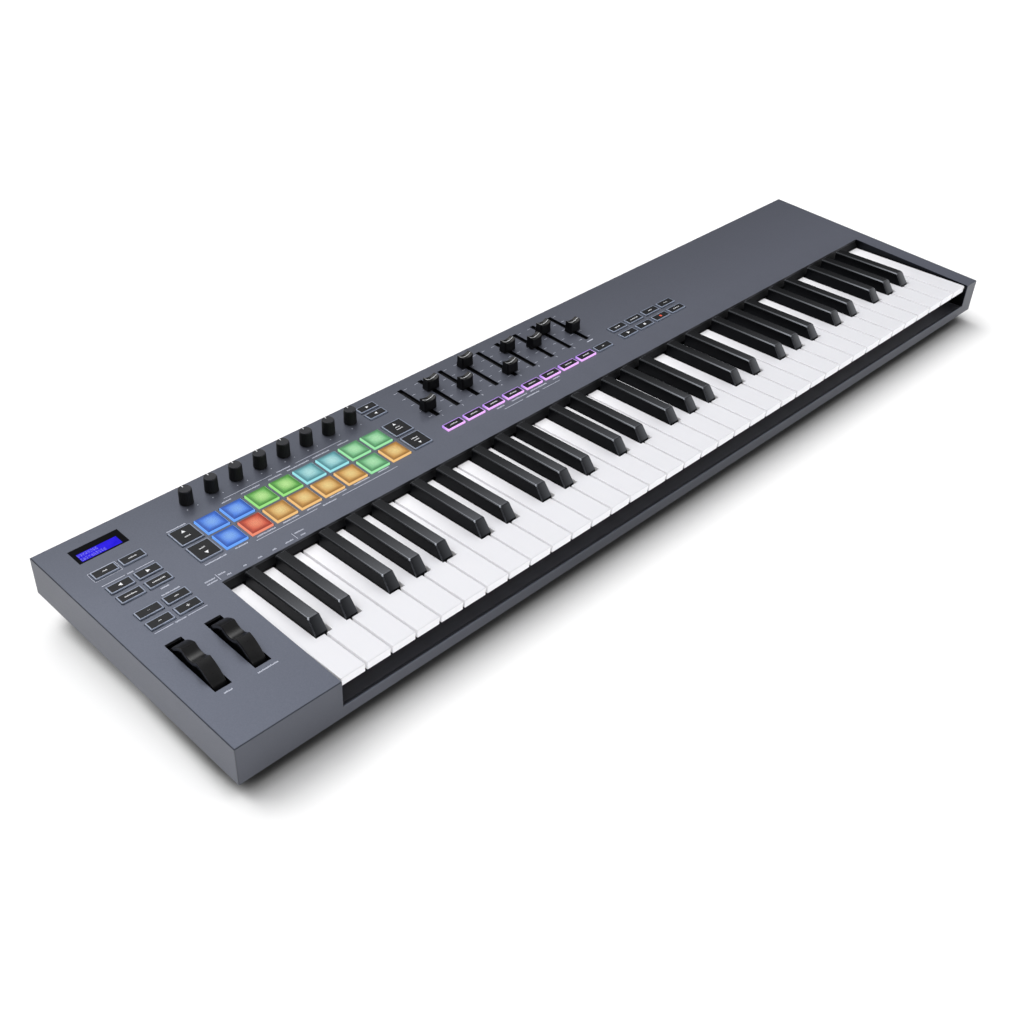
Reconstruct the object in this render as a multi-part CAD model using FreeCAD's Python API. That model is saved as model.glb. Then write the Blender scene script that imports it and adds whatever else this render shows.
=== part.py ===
import FreeCAD, Part
import math, os

# Keyboard synthesizer controller with 61 keys, in millimetres: +Z up, +X along the keys to
# the right, +Y away from the player. Origin: centre of the footprint at desk level.
#
# Pieces are modelled in one of two frames, both with x from the case's left side:
#   panel frame: y from the front and z from the underside of the sloping upper case
#   level frame: y from the front and z from the desk

# ------------------------------------------------------------------ case
CASE_W = 955.0
CASE_D = 257.6       # measured along the sloping panel
CASE_H = 34.8        # upper case, also the panel surface in the panel frame
TILT = 3.4           # slope of the upper case, degrees
CASE_Z = 12.0        # desk to the upper case's front bottom edge
WALL = 2.6           # upper case wall and panel
PANEL_BACK = CASE_H - WALL
FOOT_H = 4.0
BASE_T = 2.5         # lower case wall
BASE_FIT = 0.2       # clearance between lower and upper case
FLANGE_TOP = BASE_FIT + BASE_T

# key opening in the upper case
OPEN_X0, OPEN_X1 = 89.4, 937.05
OPEN_Y1 = 139.4      # rear edge
LIP_H = 10.2         # front lip under the keys

# ------------------------------------------------------------------ keys
WHITES = (0, 2, 4, 5, 7, 9, 11)      # pitch classes
BLACKS = (1, 3, 6, 8, 10)
NOTE_NAMES = ("c", "c_sharp", "d", "d_sharp", "e", "f",
              "f_sharp", "g", "g_sharp", "a", "a_sharp", "b")
OCTAVES = 5          # full octaves, followed by one more c
N_WHITE = OCTAVES * len(WHITES) + 1
KEY_X0 = 90.36       # left boundary of the first key
PITCH = 23.5         # white key pitch
C_TO_E, F_TO_B = 3 * PITCH, 4 * PITCH
OCTAVE_W = C_TO_E + F_TO_B
KEYS_X1 = KEY_X0 + N_WHITE * PITCH
GAP = 1.0            # gap between white keys
KEY_Y0 = 1.0         # front of the white keys
KEY_TOP = 46.1       # white key top above the desk
SKIRT = 7.1          # height of a white key's front
SKIRT_Z = KEY_TOP - SKIRT
PLATE = 2.2          # white key top thickness
SKIN = 1.4           # white key side thickness
NOTCH_Y = 46.5       # where the white keys narrow
NOTCH_W = 13.4       # room left for a black key
KEY_REAR = 141.0     # rear wall of the white keys
BLACK_Y0 = 47.6      # foot of the black keys' front slope
BLACK_Y1 = 55.4      # top of the front slope
BLACK_REAR = 131.0
BLACK_TOP = KEY_TOP + 11.8
BLACK_FOOT_W, BLACK_TOP_W = 11.6, 8.8
BLACK_SKIN = 1.6
SHOULDER_Z = KEY_TOP + 0.5           # where the black keys start to taper
PIVOT_Y, PIVOT_Z = 187.0, 34.0
ROD_R = 1.5
HUB_R = 4.2
ARM_W = 8.0
ARM_Z0, ARM_Z1, ARM_REAR_Z1 = 31.0, 39.9, 36.5
DOME_Y = 95.0        # contact domes and the key ribs above them

# ------------------------------------------------------------------ key bed
BED_X0, BED_X1 = OPEN_X0 + 0.6, OPEN_X1 - 0.6
BED_Z0, BED_TOP = 20.0, 22.0
CONTACT_Y0, CONTACT_Y1 = 78, 118
CONTACT_Z0, CONTACT_Z1 = 27.0, 28.6
# full-width bars: y0, y1, z0, z1
BED_BARS = (
    (21, 31, 21, 26.4),
    (53, 63, 21, 28.7),
    (CONTACT_Y0, CONTACT_Y0 + 3, 21, CONTACT_Z0),
    (CONTACT_Y1 - 3, CONTACT_Y1, 21, CONTACT_Z0),
    (190.5, 198, 21, 27.9),
    (198, 200, 15, 27.9),
)
# full-width felts: y0, y1, z0, z1
FELTS = ((22, 30, 26.4, 29.9), (54, 62, 28.7, 31.6), (191, 197, 27.9, 30.95))
STIFFENER_X = (150, 290, 430, 570, 710, 850)
# octave divisions (of 12) that carry a rod support
SUPPORT_DIVISIONS = (2, 4, 7, 10)
# side outline of a return spring: y, z
SPRING_OUTLINE = [(148, 22.0), (156, 22.0), (172, 30.2), (178, 30.55),
                  (178, 30.95), (171.8, 30.6), (155.9, 22.45), (148, 22.45)]

# ------------------------------------------------------------------ wheels, panel frame
PITCH_WHEEL_X, MOD_WHEEL_X = WHEEL_XS = (27.85, 61.05)
WHEEL_R, WHEEL_W = 31.0, 11.6
WHEEL_Y = 81.0
AXLE_Z = CASE_H - 18.5
SHAFT_R = 2.5
SHAFT_STUB = 3.9     # shaft beyond the wheel's side
SLOT_W, SLOT_Y0, SLOT_Y1 = 13.9, 50.4, 111.2
GRIP_HALF, GRIP_SAG = 8.5, 4.1       # finger notch: half chord and depth
COIL_R, COIL_PITCH, COIL_LEN, COIL_WIRE_R = 3.3, 0.9, 3.6, 0.28

# ------------------------------------------------------------------ controls, panel frame
CAP_GAP = 0.8        # knobs and fader caps above the panel
KNOB_XS = [124.4 + i * 24.0 for i in range(8)]
KNOB_Y, KNOB_H = 235.8, 14.3
KNOB_TOP_R, KNOB_FOOT_R = 5.5, 5.8
KNOB_SHAFT_R = 3.0
FADER_XS = [357.2 + i * 24.45 for i in range(9)]
FADER_REST = (207.0, 229.8, 211.1, 236.8, 202.2, 230.0, 218.6, 230.2, 213.9)
FADER_SLOT_W, FADER_SLOT_Y0, FADER_SLOT_Y1 = 5.0, 193.4, 245.8
CAP_W, CAP_D, CAP_H = 14.4, 8.8, 12.0
DISPLAY = (44.7, 234.9, 42.8, 18.4)  # window: x, y, width, depth
DISPLAY_T = 1.5
DISPLAY_SHIFT = 2.3                  # window centre to the centre of the view, forwards


def grid(xs, ys, size):
    """Controls as (x, y, width, depth), row by row."""
    return [(x, y) + size for y in ys for x in xs]


PAD_XS = [124.2 + i * 24.0 for i in range(8)]
PAD_SIZE = (20.6, 20.6)
SQUARE_YS, SQUARE_SIZE = (201.7, 177.7), (20.4, 20.4)
STRIP_SIZE = (20.8, 9.0)
BUTTONS = {
    "mode_buttons": grid((32.6, 56.2), (206.4, 185.2, 171.1, 148.0, 133.6), (20.3, 9.4)),
    "preset_buttons": grid((100.7,), SQUARE_YS, SQUARE_SIZE),
    "bank_buttons": grid((317.0,), SQUARE_YS, SQUARE_SIZE),
    "page_buttons": grid((317.1,), (242.9, 230.6), (19.6, 9.0)),
    "channel_buttons": grid(FADER_XS, (173.7,), STRIP_SIZE),
    "transport_buttons": grid((590.0, 614.4, 638.9, 663.0), (188.0, 173.8), STRIP_SIZE),
}
PADS = {
    "pads_rear_row": grid(PAD_XS, (201.2,), PAD_SIZE),
    "pads_front_row": grid(PAD_XS, (177.2,), PAD_SIZE),
}

# ------------------------------------------------------------------ boards and screws, panel frame
BOARD_T = 1.6
BOARD_TOP = 26.7     # upper face of the panel board
BOARD_POSTS = ((20, 218), (72, 218), (84, 150), (84, 250), (340, 160), (340, 250),
               (571, 186), (571, 250), (686, 160), (686, 250), (230, 160), (450, 160))
# membrane sheets on the panel board: x0, x1, y0, y1
MEMBRANES = ((20, 69, 127.0, 213.0), (88.5, 329, 165.0, 213.5), (306, 329, 224.5, 249.5),
             (345, 565, 166.0, 181.5), (578, 675, 166.0, 195.5))
CONNECTOR_Z0 = 4.0   # underside of the connector board
CONNECTOR_Z1 = CONNECTOR_Z0 + BOARD_T
USB_X = 96.0

SCREW_R = 1.4
SCREW_HEAD_R = 2.8
REAR_SCREW_XS = (30, 350, 600, 925)
SIDE_SCREW_YS = (30, 200)
FRONT_SCREW_XS = (200, 420, 640, 860)
DEEP_SCREWS = ([(x, 250.5) for x in REAR_SCREW_XS]
               + [(x, y) for x in (6.8, CASE_W - 6.8) for y in SIDE_SCREW_YS])
FRONT_SCREWS = [(x, 5.5) for x in FRONT_SCREW_XS]

# ------------------------------------------------------------------ frames
V = FreeCAD.Vector
SIN, COS = math.sin(math.radians(TILT)), math.cos(math.radians(TILT))
FOOTPRINT_MID_Y = (CASE_D * COS - CASE_H * SIN) / 2


def panel(shape):
    """Move a shape from the panel frame to the product's frame."""
    moved = shape.copy()
    moved.rotate(V(0, 0, 0), V(1, 0, 0), TILT)
    moved.translate(V(-CASE_W / 2, -FOOTPRINT_MID_Y, CASE_Z))
    return moved


def level(shape):
    """Move a shape from the level frame to the product's frame."""
    moved = shape.copy()
    moved.translate(V(-CASE_W / 2, -FOOTPRINT_MID_Y, 0))
    return moved


def panel_to_level(y, z):
    return y * COS - z * SIN, CASE_Z + y * SIN + z * COS


# ------------------------------------------------------------------ shape helpers
def box(x0, x1, y0, y1, z0, z1):
    return Part.makeBox(x1 - x0, y1 - y0, z1 - z0, V(x0, y0, z0))


def centred_box(x, y, width, depth, z0, z1):
    return box(x - width / 2, x + width / 2, y - depth / 2, y + depth / 2, z0, z1)


def cylinder(x, y, radius, z0, z1):
    return Part.makeCylinder(radius, z1 - z0, V(x, y, z0))


def x_cylinder(x0, x1, y, z, radius):
    return Part.makeCylinder(radius, x1 - x0, V(x0, y, z), V(1, 0, 0))


def y_cylinder(x, y0, y1, z, radius):
    return Part.makeCylinder(radius, y1 - y0, V(x, y0, z), V(0, 1, 0))


def extrude(points, direction):
    return Part.Face(Part.makePolygon(points + [points[0]])).extrude(direction)


def yz_prism(outline, x0, x1):
    return extrude([V(x0, y, z) for y, z in outline], V(x1 - x0, 0, 0))


def cut(shape, tools):
    return shape.cut(Part.makeCompound(tools))


def edges_at_z(shape, z):
    return [e for e in shape.Edges if abs(e.CenterOfMass.z - z) < 1e-6]


def arc_radius(half_chord, sag):
    return (half_chord ** 2 + sag ** 2) / (2 * sag)


# ------------------------------------------------------------------ keys
def octave_x(division):
    """Distance into an octave at a division of 12: 5 share c to e, 7 share f to b."""
    if division < 5:
        return C_TO_E * division / 5
    return C_TO_E + F_TO_B * (division - 5) / 7


def note_x(octave, note):
    """Centre of a note's share of the rear of the keyboard."""
    return KEY_X0 + octave * OCTAVE_W + octave_x(note + 0.5)


def add_arm(key, x, front_y, extras):
    """Fuse the extras and a rearward arm to a key, and bore its hub for the rod."""
    x0, x1 = x - ARM_W / 2, x + ARM_W / 2
    key = key.fuse(extras + [
        box(x0, x1, front_y, PIVOT_Y + 10, ARM_Z0, ARM_REAR_Z1),
        box(x0, x1, front_y, PIVOT_Y - 8, ARM_Z0, ARM_Z1),
        x_cylinder(x0, x1, PIVOT_Y, PIVOT_Z, HUB_R)])
    key = key.cut(x_cylinder(x0 - 1, x1 + 1, PIVOT_Y, PIVOT_Z, ROD_R + 0.05))
    return level(key.removeSplitter())


def white_key(octave, note, last=False):
    left = KEY_X0 + octave * OCTAVE_W + WHITES.index(note) * PITCH
    x0, x1 = left + GAP / 2, left + PITCH - GAP / 2
    rear_x0, rear_x1 = x0, x1
    if note - 1 in BLACKS:
        rear_x0 = note_x(octave, note - 1) + NOTCH_W / 2
    if note + 1 in BLACKS and not last:
        rear_x1 = note_x(octave, note + 1) - NOTCH_W / 2

    front = box(x0, x1, KEY_Y0, NOTCH_Y, SKIRT_Z, KEY_TOP)
    # rounds the top front edge
    nose = yz_prism([(KEY_Y0 - 1, KEY_TOP + 1), (KEY_Y0 - 1, KEY_TOP - 1.2),
                     (KEY_Y0, KEY_TOP - 1.0), (KEY_Y0 + 0.35, KEY_TOP - 0.3),
                     (KEY_Y0 + 1.1, KEY_TOP), (KEY_Y0 + 1.3, KEY_TOP + 1)], x0 - 1, x1 + 1)
    front = front.cut(nose)
    rear = box(rear_x0, rear_x1, NOTCH_Y - 1, KEY_REAR, SKIRT_Z, KEY_TOP)
    front_hollow = box(x0 + SKIN, x1 - SKIN, KEY_Y0 + 2.2, NOTCH_Y - SKIN,
                       SKIRT_Z - 1, KEY_TOP - PLATE)
    rear_hollow = box(rear_x0 + SKIN, rear_x1 - SKIN, NOTCH_Y - SKIN - 4, KEY_REAR - SKIN,
                      SKIRT_Z - 1, KEY_TOP - PLATE)
    key = front.fuse(rear).cut(front_hollow).cut(rear_hollow)

    # the arm stays within the narrow rear of the key
    inset = ARM_W / 2 + 0.2
    arm_x = min(max(note_x(octave, note), rear_x0 + inset), rear_x1 - inset)
    rib = box(rear_x0 + 0.5, rear_x1 - 0.5, DOME_Y - 2, DOME_Y + 2, SKIRT_Z - 1, KEY_TOP - 1)
    drop = box(arm_x - ARM_W / 2, arm_x + ARM_W / 2, KEY_REAR - 7, KEY_REAR,
               ARM_Z0, KEY_TOP - 1)
    return add_arm(key, arm_x, KEY_REAR - 3, [rib, drop])


def black_body(x, inset, y0, y1, z0):
    """Tapered bar with the black keys' cross-section, drawn in by an inset."""
    foot, top = BLACK_FOOT_W / 2 - inset, BLACK_TOP_W / 2 - inset
    z1 = BLACK_TOP - inset * 1.3
    section = [(-foot, z0), (foot, z0), (foot, SHOULDER_Z), (top + 0.9, z1 - 1.0), (top, z1),
               (-top, z1), (-top - 0.9, z1 - 1.0), (-foot, SHOULDER_Z)]
    return extrude([V(x + dx, y0, z) for dx, z in section], V(0, y1 - y0, 0))


def black_key(octave, note):
    x = note_x(octave, note)
    outer = black_body(x, 0, BLACK_Y0, BLACK_REAR, SKIRT_Z)
    slope = yz_prism([(BLACK_Y0 - 1, SHOULDER_Z), (BLACK_Y0, SHOULDER_Z),
                      (BLACK_Y1 - 1.2, BLACK_TOP - 1.6), (BLACK_Y1, BLACK_TOP - 0.5),
                      (BLACK_Y1 + 0.9, BLACK_TOP), (BLACK_Y1 + 1.2, BLACK_TOP + 1),
                      (BLACK_Y0 - 1, BLACK_TOP + 1)], x - 10, x + 10)
    outer = outer.cut(slope)
    hollow_y0 = BLACK_Y0 + 2.0
    hollow = black_body(x, BLACK_SKIN, hollow_y0, BLACK_REAR - BLACK_SKIN, SKIRT_Z - 1)
    hollow_slope = yz_prism([(BLACK_Y0, SKIRT_Z - 2), (hollow_y0, SKIRT_Z - 2),
                             (hollow_y0, SHOULDER_Z), (BLACK_Y1 + 2.6, BLACK_TOP - 1),
                             (BLACK_Y1 + 2.6, BLACK_TOP + 1), (BLACK_Y0, BLACK_TOP + 1)],
                            x - 10, x + 10)
    key = outer.cut(hollow.cut(hollow_slope))

    front_y = BLACK_REAR - 5
    key = key.fuse(box(x - ARM_W / 2, x + ARM_W / 2, front_y, KEY_REAR - 2, ARM_Z0, 42.0))
    half_rib = BLACK_FOOT_W / 2 - 0.5
    rib = box(x - half_rib, x + half_rib, DOME_Y - 2, DOME_Y + 2, SKIRT_Z - 1, KEY_TOP)
    return add_arm(key, x, front_y, [rib])


def keys_of_note(note):
    """Every key of one pitch class."""
    make_key = white_key if note in WHITES else black_key
    keys = [make_key(octave, note) for octave in range(OCTAVES)]
    if note == 0:
        keys.append(white_key(OCTAVES, 0, last=True))
    return keys


# ------------------------------------------------------------------ key bed
def bed_bar(y0, y1, z0, z1):
    return box(BED_X0, BED_X1, y0, y1, z0, z1)


def keybed_frame():
    deck = bed_bar(2.7, 200, BED_Z0, BED_TOP)
    adds = [bed_bar(*bar) for bar in BED_BARS]
    # a post under the front of each white key
    for i in range(N_WHITE):
        x = KEY_X0 + (i + 0.5) * PITCH
        adds.append(box(x - 2.5, x + 2.5, 33, 41, 21, 34.2))
    # supports for the pivot rod
    support_xs = [KEY_X0 + 1.6]
    for octave in range(OCTAVES):
        support_xs += [KEY_X0 + octave * OCTAVE_W + octave_x(n) for n in SUPPORT_DIVISIONS]
    support_xs.append(KEYS_X1 - 1.6)
    for x in support_xs:
        adds.append(box(x - 1.25, x + 1.25, 180, 190.7, 21, 38.0))
    # lengthwise walls under the deck
    for x in STIFFENER_X:
        adds.append(box(x - 2, x + 2, 30, 190, 6.6, 20.5))
    bed = deck.fuse(adds).removeSplitter()
    return level(bed.cut(x_cylinder(BED_X0 - 1, BED_X1 + 1, PIVOT_Y, PIVOT_Z, ROD_R)))


def key_slot_fascia():
    """Strip closing the rear of the key opening."""
    corners = ((139.6, PANEL_BACK), (142.0, PANEL_BACK), (139.4, 27.4), (136.2, 27.4))
    return level(yz_prism([panel_to_level(y, z) for y, z in corners], BED_X0, BED_X1))


def key_pivot_rod():
    return level(x_cylinder(KEY_X0 - 0.2, KEYS_X1 + 0.2, PIVOT_Y, PIVOT_Z, ROD_R))


def key_contact_board():
    return level(box(BED_X0 + 2, BED_X1 - 2, CONTACT_Y0, CONTACT_Y1, CONTACT_Z0, CONTACT_Z1))


def contact_dome(x):
    pad_top = CONTACT_Z1 + 0.8
    dome = Part.makeCone(4.6, 2.6, 7.2, V(x, DOME_Y, pad_top))
    dome = dome.fuse(centred_box(x, DOME_Y, 11.0, 14.0, CONTACT_Z1, pad_top))
    return level(dome.fuse(cylinder(x, DOME_Y, 2.6, 36.5, 37.9)).removeSplitter())


def return_spring(x):
    return level(yz_prism(SPRING_OUTLINE, x - 2.5, x + 2.5))


# ------------------------------------------------------------------ buttons, knobs, faders
def slab_button(control, height, chamfer):
    """Button or pad with a flange behind the panel and a plunger below."""
    x, y, width, depth = control
    top_z = CASE_H + height
    top = centred_box(x, y, width, depth, 31.0, top_z)
    top = top.makeChamfer(chamfer, edges_at_z(top, top_z))
    button = top.fuse([centred_box(x, y, width + 1.4, depth + 1.4, 30.6, 32.05),
                       centred_box(x, y, width - 3, depth - 3, 28.2, 30.8)])
    return panel(button.removeSplitter())


def knob(x):
    z0, z1 = CASE_H + CAP_GAP, CASE_H + KNOB_H
    body = Part.makeCone(KNOB_FOOT_R, KNOB_TOP_R, KNOB_H - CAP_GAP, V(x, KNOB_Y, z0))
    body = body.makeChamfer(0.5, edges_at_z(body, z1))
    # shallow dish in the top, then the hollow underneath
    body = body.cut(cylinder(x, KNOB_Y, KNOB_TOP_R - 1.0, z1 - 0.35, z1 + 1))
    body = body.cut(cylinder(x, KNOB_Y, 4.6, z0 - 1, z0 + 8))
    body = body.fuse(cylinder(x, KNOB_Y, KNOB_SHAFT_R, 29.6, CASE_H + 10))
    pointer = box(x - 0.45, x + 0.45, KNOB_Y + 1.6, KNOB_Y + KNOB_TOP_R + 1, z1 - 0.7, z1 + 1)
    return panel(body.cut(pointer).removeSplitter())


def fader(x, y):
    z0, z1 = CASE_H + CAP_GAP, CASE_H + CAP_H
    cap = centred_box(x, y, CAP_W, CAP_D, z0, z1)
    cap = cap.makeChamfer(1.0, edges_at_z(cap, (z0 + z1) / 2))  # upright edges
    sag = 2.2
    radius = arc_radius(CAP_W / 2 - 0.7, sag)
    cap = cap.cut(y_cylinder(x, y - 20, y + 20, z1 - sag + radius, radius))
    cap = cap.cut(centred_box(x, y, CAP_W - 3.2, CAP_D - 3.2, z0 - 1, z0 + 6))
    stem = centred_box(x, y, 1.2, 4.0, 30.4, z0 + 8)
    return panel(cap.fuse(stem).removeSplitter())


def fader_pot(x):
    y = (FADER_SLOT_Y0 + FADER_SLOT_Y1) / 2
    body = centred_box(x, y, 9.0, 60.0, BOARD_TOP, 32.0)
    return panel(cut(body, [centred_box(x, y, 2.0, 50.4, 29.8, 33)]))


def knob_pot(x):
    body = centred_box(x, KNOB_Y, 9.8, 11.0, BOARD_TOP, 32.0)
    return panel(cut(body, [cylinder(x, KNOB_Y, KNOB_SHAFT_R + 0.05, 29.3, 33)]))


# ------------------------------------------------------------------ wheels
def wheel(x, right_reach):
    """Upper part of a disc with a finger notch, a hub and a shaft."""
    x0, x1 = x - WHEEL_W / 2, x + WHEEL_W / 2
    body = x_cylinder(x0, x1, WHEEL_Y, AXLE_Z, WHEEL_R)
    rims = [e for e in body.Edges
            if min(abs(e.CenterOfMass.x - x0), abs(e.CenterOfMass.x - x1)) < 1e-6
            and abs(e.Length - 2 * math.pi * WHEEL_R) < 1e-3]
    body = body.makeChamfer(0.6, rims)
    body = body.common(box(x0 - 1, x1 + 1, 0, 200, AXLE_Z + 3.0, 100))
    grip_r = arc_radius(GRIP_HALF, GRIP_SAG)
    grip_z = AXLE_Z + math.sqrt(WHEEL_R ** 2 - GRIP_HALF ** 2) - GRIP_SAG + grip_r
    body = body.cut(x_cylinder(x0 - 1, x1 + 1, WHEEL_Y, grip_z, grip_r))
    body = body.fuse([
        x_cylinder(x0, x1, WHEEL_Y, AXLE_Z, 7.0),
        box(x0, x1, WHEEL_Y - 7, WHEEL_Y + 7, AXLE_Z, AXLE_Z + 4),
        x_cylinder(x0 - SHAFT_STUB, x1 + right_reach, WHEEL_Y, AXLE_Z, SHAFT_R)])
    return panel(body.removeSplitter())


def wheel_bracket():
    y0, y1 = WHEEL_Y - 36, WHEEL_Y + 36
    plate = cut(box(11.5, 78.0, y0, y1, 29.6, PANEL_BACK),
                [box(x - 7.5, x + 7.5, y0 + 4, y1 - 4, 20, 40) for x in WHEEL_XS])
    cheeks = []
    for x in WHEEL_XS:
        for side in (-1, 1):
            cheek_x = x + side * (WHEEL_W / 2 + 2.2)
            x0, x1 = cheek_x - 1.0, cheek_x + 1.0
            cheeks.append(box(x0, x1, WHEEL_Y - 9, WHEEL_Y + 9, AXLE_Z - 6, 30.5))
            cheeks.append(box(x0, x1, y0, y1, 28.0, 30.5))
    bracket = plate.fuse(cheeks).removeSplitter()
    for x in WHEEL_XS:
        bracket = bracket.cut(x_cylinder(x - 12, x + 12, WHEEL_Y, AXLE_Z, SHAFT_R + 0.05))
    return panel(bracket)


def pitch_wheel_spring():
    """Coil round the pitch wheel's shaft, on the right of the wheel."""
    helix = Part.makeHelix(COIL_PITCH, COIL_LEN, COIL_R)
    profile = Part.Wire(Part.makeCircle(COIL_WIRE_R, V(COIL_R, 0, 0), V(0, 1, 0)))
    coil = Part.Wire(helix.Edges).makePipeShell([profile], True, True)
    coil.rotate(V(0, 0, 0), V(0, 1, 0), 90)
    coil.translate(V(PITCH_WHEEL_X + WHEEL_W / 2 + 4.2, WHEEL_Y, AXLE_Z))
    return panel(coil)


# ------------------------------------------------------------------ electronics
def panel_board():
    z0 = BOARD_TOP - BOARD_T
    board = box(16, 690, 146, 253.5, z0, BOARD_TOP)
    return panel(board.fuse([box(16, 78, 124, 147, z0, BOARD_TOP)]).removeSplitter())


def membrane_sheet(x0, x1, y0, y1):
    return panel(box(x0, x1, y0, y1, BOARD_TOP, BOARD_TOP + 0.5))


def display_window():
    return panel(centred_box(*DISPLAY, CASE_H - DISPLAY_T, CASE_H))


def display_module():
    x, y = DISPLAY[:2]
    recess = centred_box(x, y - DISPLAY_SHIFT, 34.6, 9.6, PANEL_BACK - 0.8, CASE_H)
    return panel(cut(centred_box(x, y, 44.0, 19.6, BOARD_TOP, PANEL_BACK), [recess]))


def connector_board():
    return panel(box(62, 150, 212, 245.5, CONNECTOR_Z0, CONNECTOR_Z1))


def usb_socket():
    """Socket open to the rear, with a tongue inside."""
    socket = cut(box(USB_X - 6, USB_X + 6, 240.5, 257.4, CONNECTOR_Z1, CONNECTOR_Z1 + 11.0),
                 [box(USB_X - 4.2, USB_X + 4.2, 248.5, 260, 7.2, 15.0)])
    socket = socket.fuse(box(USB_X - 2.6, USB_X + 2.6, 248, 257.0, 9.6, 12.6))
    return panel(socket.removeSplitter())


# ------------------------------------------------------------------ upper case
def case_additions():
    """Opening side walls, screw bosses and board posts."""
    adds = [box(x, x + WALL, 0.5, OPEN_Y1 + 3, 3.0, CASE_H - 1)
            for x in (OPEN_X0 - WALL, OPEN_X1)]
    for x in REAR_SCREW_XS:
        adds.append(box(x - 4, x + 4, 246.5, CASE_D - 1, FLANGE_TOP, 20))
    for y in SIDE_SCREW_YS:
        adds.append(box(1, 11, y - 4, y + 4, FLANGE_TOP, 20))
        adds.append(box(CASE_W - 11, CASE_W - 1, y - 4, y + 4, FLANGE_TOP, 20))
    for x in FRONT_SCREW_XS:
        adds.append(box(x - 4, x + 4, 1, 7.9, FLANGE_TOP, 7.2))
    for x, y in BOARD_POSTS:
        adds.append(cylinder(x, y, 2.6, BOARD_TOP, CASE_H - 1))
    return adds


def case_holes():
    z0, z1 = 30, CASE_H + 1  # through the panel
    holes = []
    for controls, play in ((BUTTONS, 0.7), (PADS, 0.8)):
        for row in controls.values():
            for x, y, width, depth in row:
                holes.append(centred_box(x, y, width + play, depth + play, z0, z1))
    for x in KNOB_XS:
        holes.append(cylinder(x, KNOB_Y, 3.75, z0, z1))
    for xs, width, y0, y1 in ((FADER_XS, FADER_SLOT_W, FADER_SLOT_Y0, FADER_SLOT_Y1),
                              (WHEEL_XS, SLOT_W, SLOT_Y0, SLOT_Y1)):
        for x in xs:
            holes.append(box(x - width / 2, x + width / 2, y0, y1, z0, z1))
    x, y = DISPLAY[:2]
    holes.append(centred_box(*DISPLAY, CASE_H - DISPLAY_T, z1))
    holes.append(centred_box(x, y - DISPLAY_SHIFT, 36.0, 11.0, z0, CASE_H))
    for screws, top in ((DEEP_SCREWS, 14), (FRONT_SCREWS, 6.6)):
        for x, y in screws:
            holes.append(cylinder(x, y, SCREW_R, 2, top))
    holes.append(box(USB_X - 6.2, USB_X + 6.2, 250, 260, 5.4, 16.8))
    return holes


def top_case():
    shell = box(0, CASE_W, 0, CASE_D, 0, CASE_H)
    shell = shell.makeChamfer(0.5, edges_at_z(shell, CASE_H))
    shell = shell.cut(box(WALL, CASE_W - WALL, WALL, CASE_D - WALL, -1, PANEL_BACK))
    shell = shell.cut(box(OPEN_X0, OPEN_X1, -1, OPEN_Y1, LIP_H, CASE_H + 1))
    shell = shell.fuse(case_additions())
    return panel(cut(shell, case_holes()).removeSplitter())


# ------------------------------------------------------------------ lower case
def bottom_case():
    """Sloping flange inside the upper case, with a level tub hanging below it."""
    edge = WALL + BASE_FIT
    flange = panel(box(edge, CASE_W - edge, edge, CASE_D - edge, BASE_FIT, FLANGE_TOP))
    x0, x1, y0, y1 = 14.0, CASE_W - 14.0, 20.0, 244.0
    hollow = level(box(x0 + BASE_T, x1 - BASE_T, y0 + BASE_T, y1 - BASE_T,
                       FOOT_H + BASE_T, 60))
    tub = level(box(x0, x1, y0, y1, FOOT_H, 60)).cut(hollow)
    tub = tub.cut(panel(box(-20, CASE_W + 20, -20, CASE_D + 20, FLANGE_TOP, 120)))
    base = flange.cut(hollow).fuse(tub)
    base = cut(base, [panel(cylinder(x, y, SCREW_R + 0.2, -2, 4))
                      for x, y in DEEP_SCREWS + FRONT_SCREWS])
    # ledges under the connector board's rear edge
    base = base.fuse([panel(box(ledge_x0, ledge_x1, 243.2, 245.4, 2.5, CONNECTOR_Z0))
                      for ledge_x0, ledge_x1 in ((120, 146), (64, 86))])
    return base.removeSplitter()


def case_screw(x, y, top):
    """Screw pointing up, with a cross slot in its head."""
    screw = cylinder(x, y, SCREW_HEAD_R, -1.5, BASE_FIT).fuse(cylinder(x, y, SCREW_R, 0, top))
    screw = screw.cut(box(x - 1.8, x + 1.8, y - 0.4, y + 0.4, -2, -0.7))
    screw = screw.cut(box(x - 0.4, x + 0.4, y - 1.8, y + 1.8, -2, -0.7))
    return panel(screw.removeSplitter())


# ------------------------------------------------------------------ build and export
def save(name, shape):
    """Write one STEP file; a list of shapes becomes a compound."""
    if isinstance(shape, list):
        shape = Part.makeCompound(shape)
    shape.exportStep("parts/%s.step" % name)


os.makedirs("parts", exist_ok=True)

for note, note_name in enumerate(NOTE_NAMES):
    save("key_" + note_name, keys_of_note(note))

note_xs = [note_x(octave, note) for octave in range(OCTAVES) for note in range(12)]
note_xs.append(note_x(OCTAVES, 0))
save("keybed_frame", [keybed_frame()])
save("key_slot_fascia", [key_slot_fascia()])
save("key_pivot_rod", key_pivot_rod())
save("key_stop_felts", [level(bed_bar(*felt)) for felt in FELTS])
save("key_contact_board", key_contact_board())
save("key_contact_domes", [contact_dome(x) for x in note_xs])
save("key_return_springs", [return_spring(x) for x in note_xs])

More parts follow.
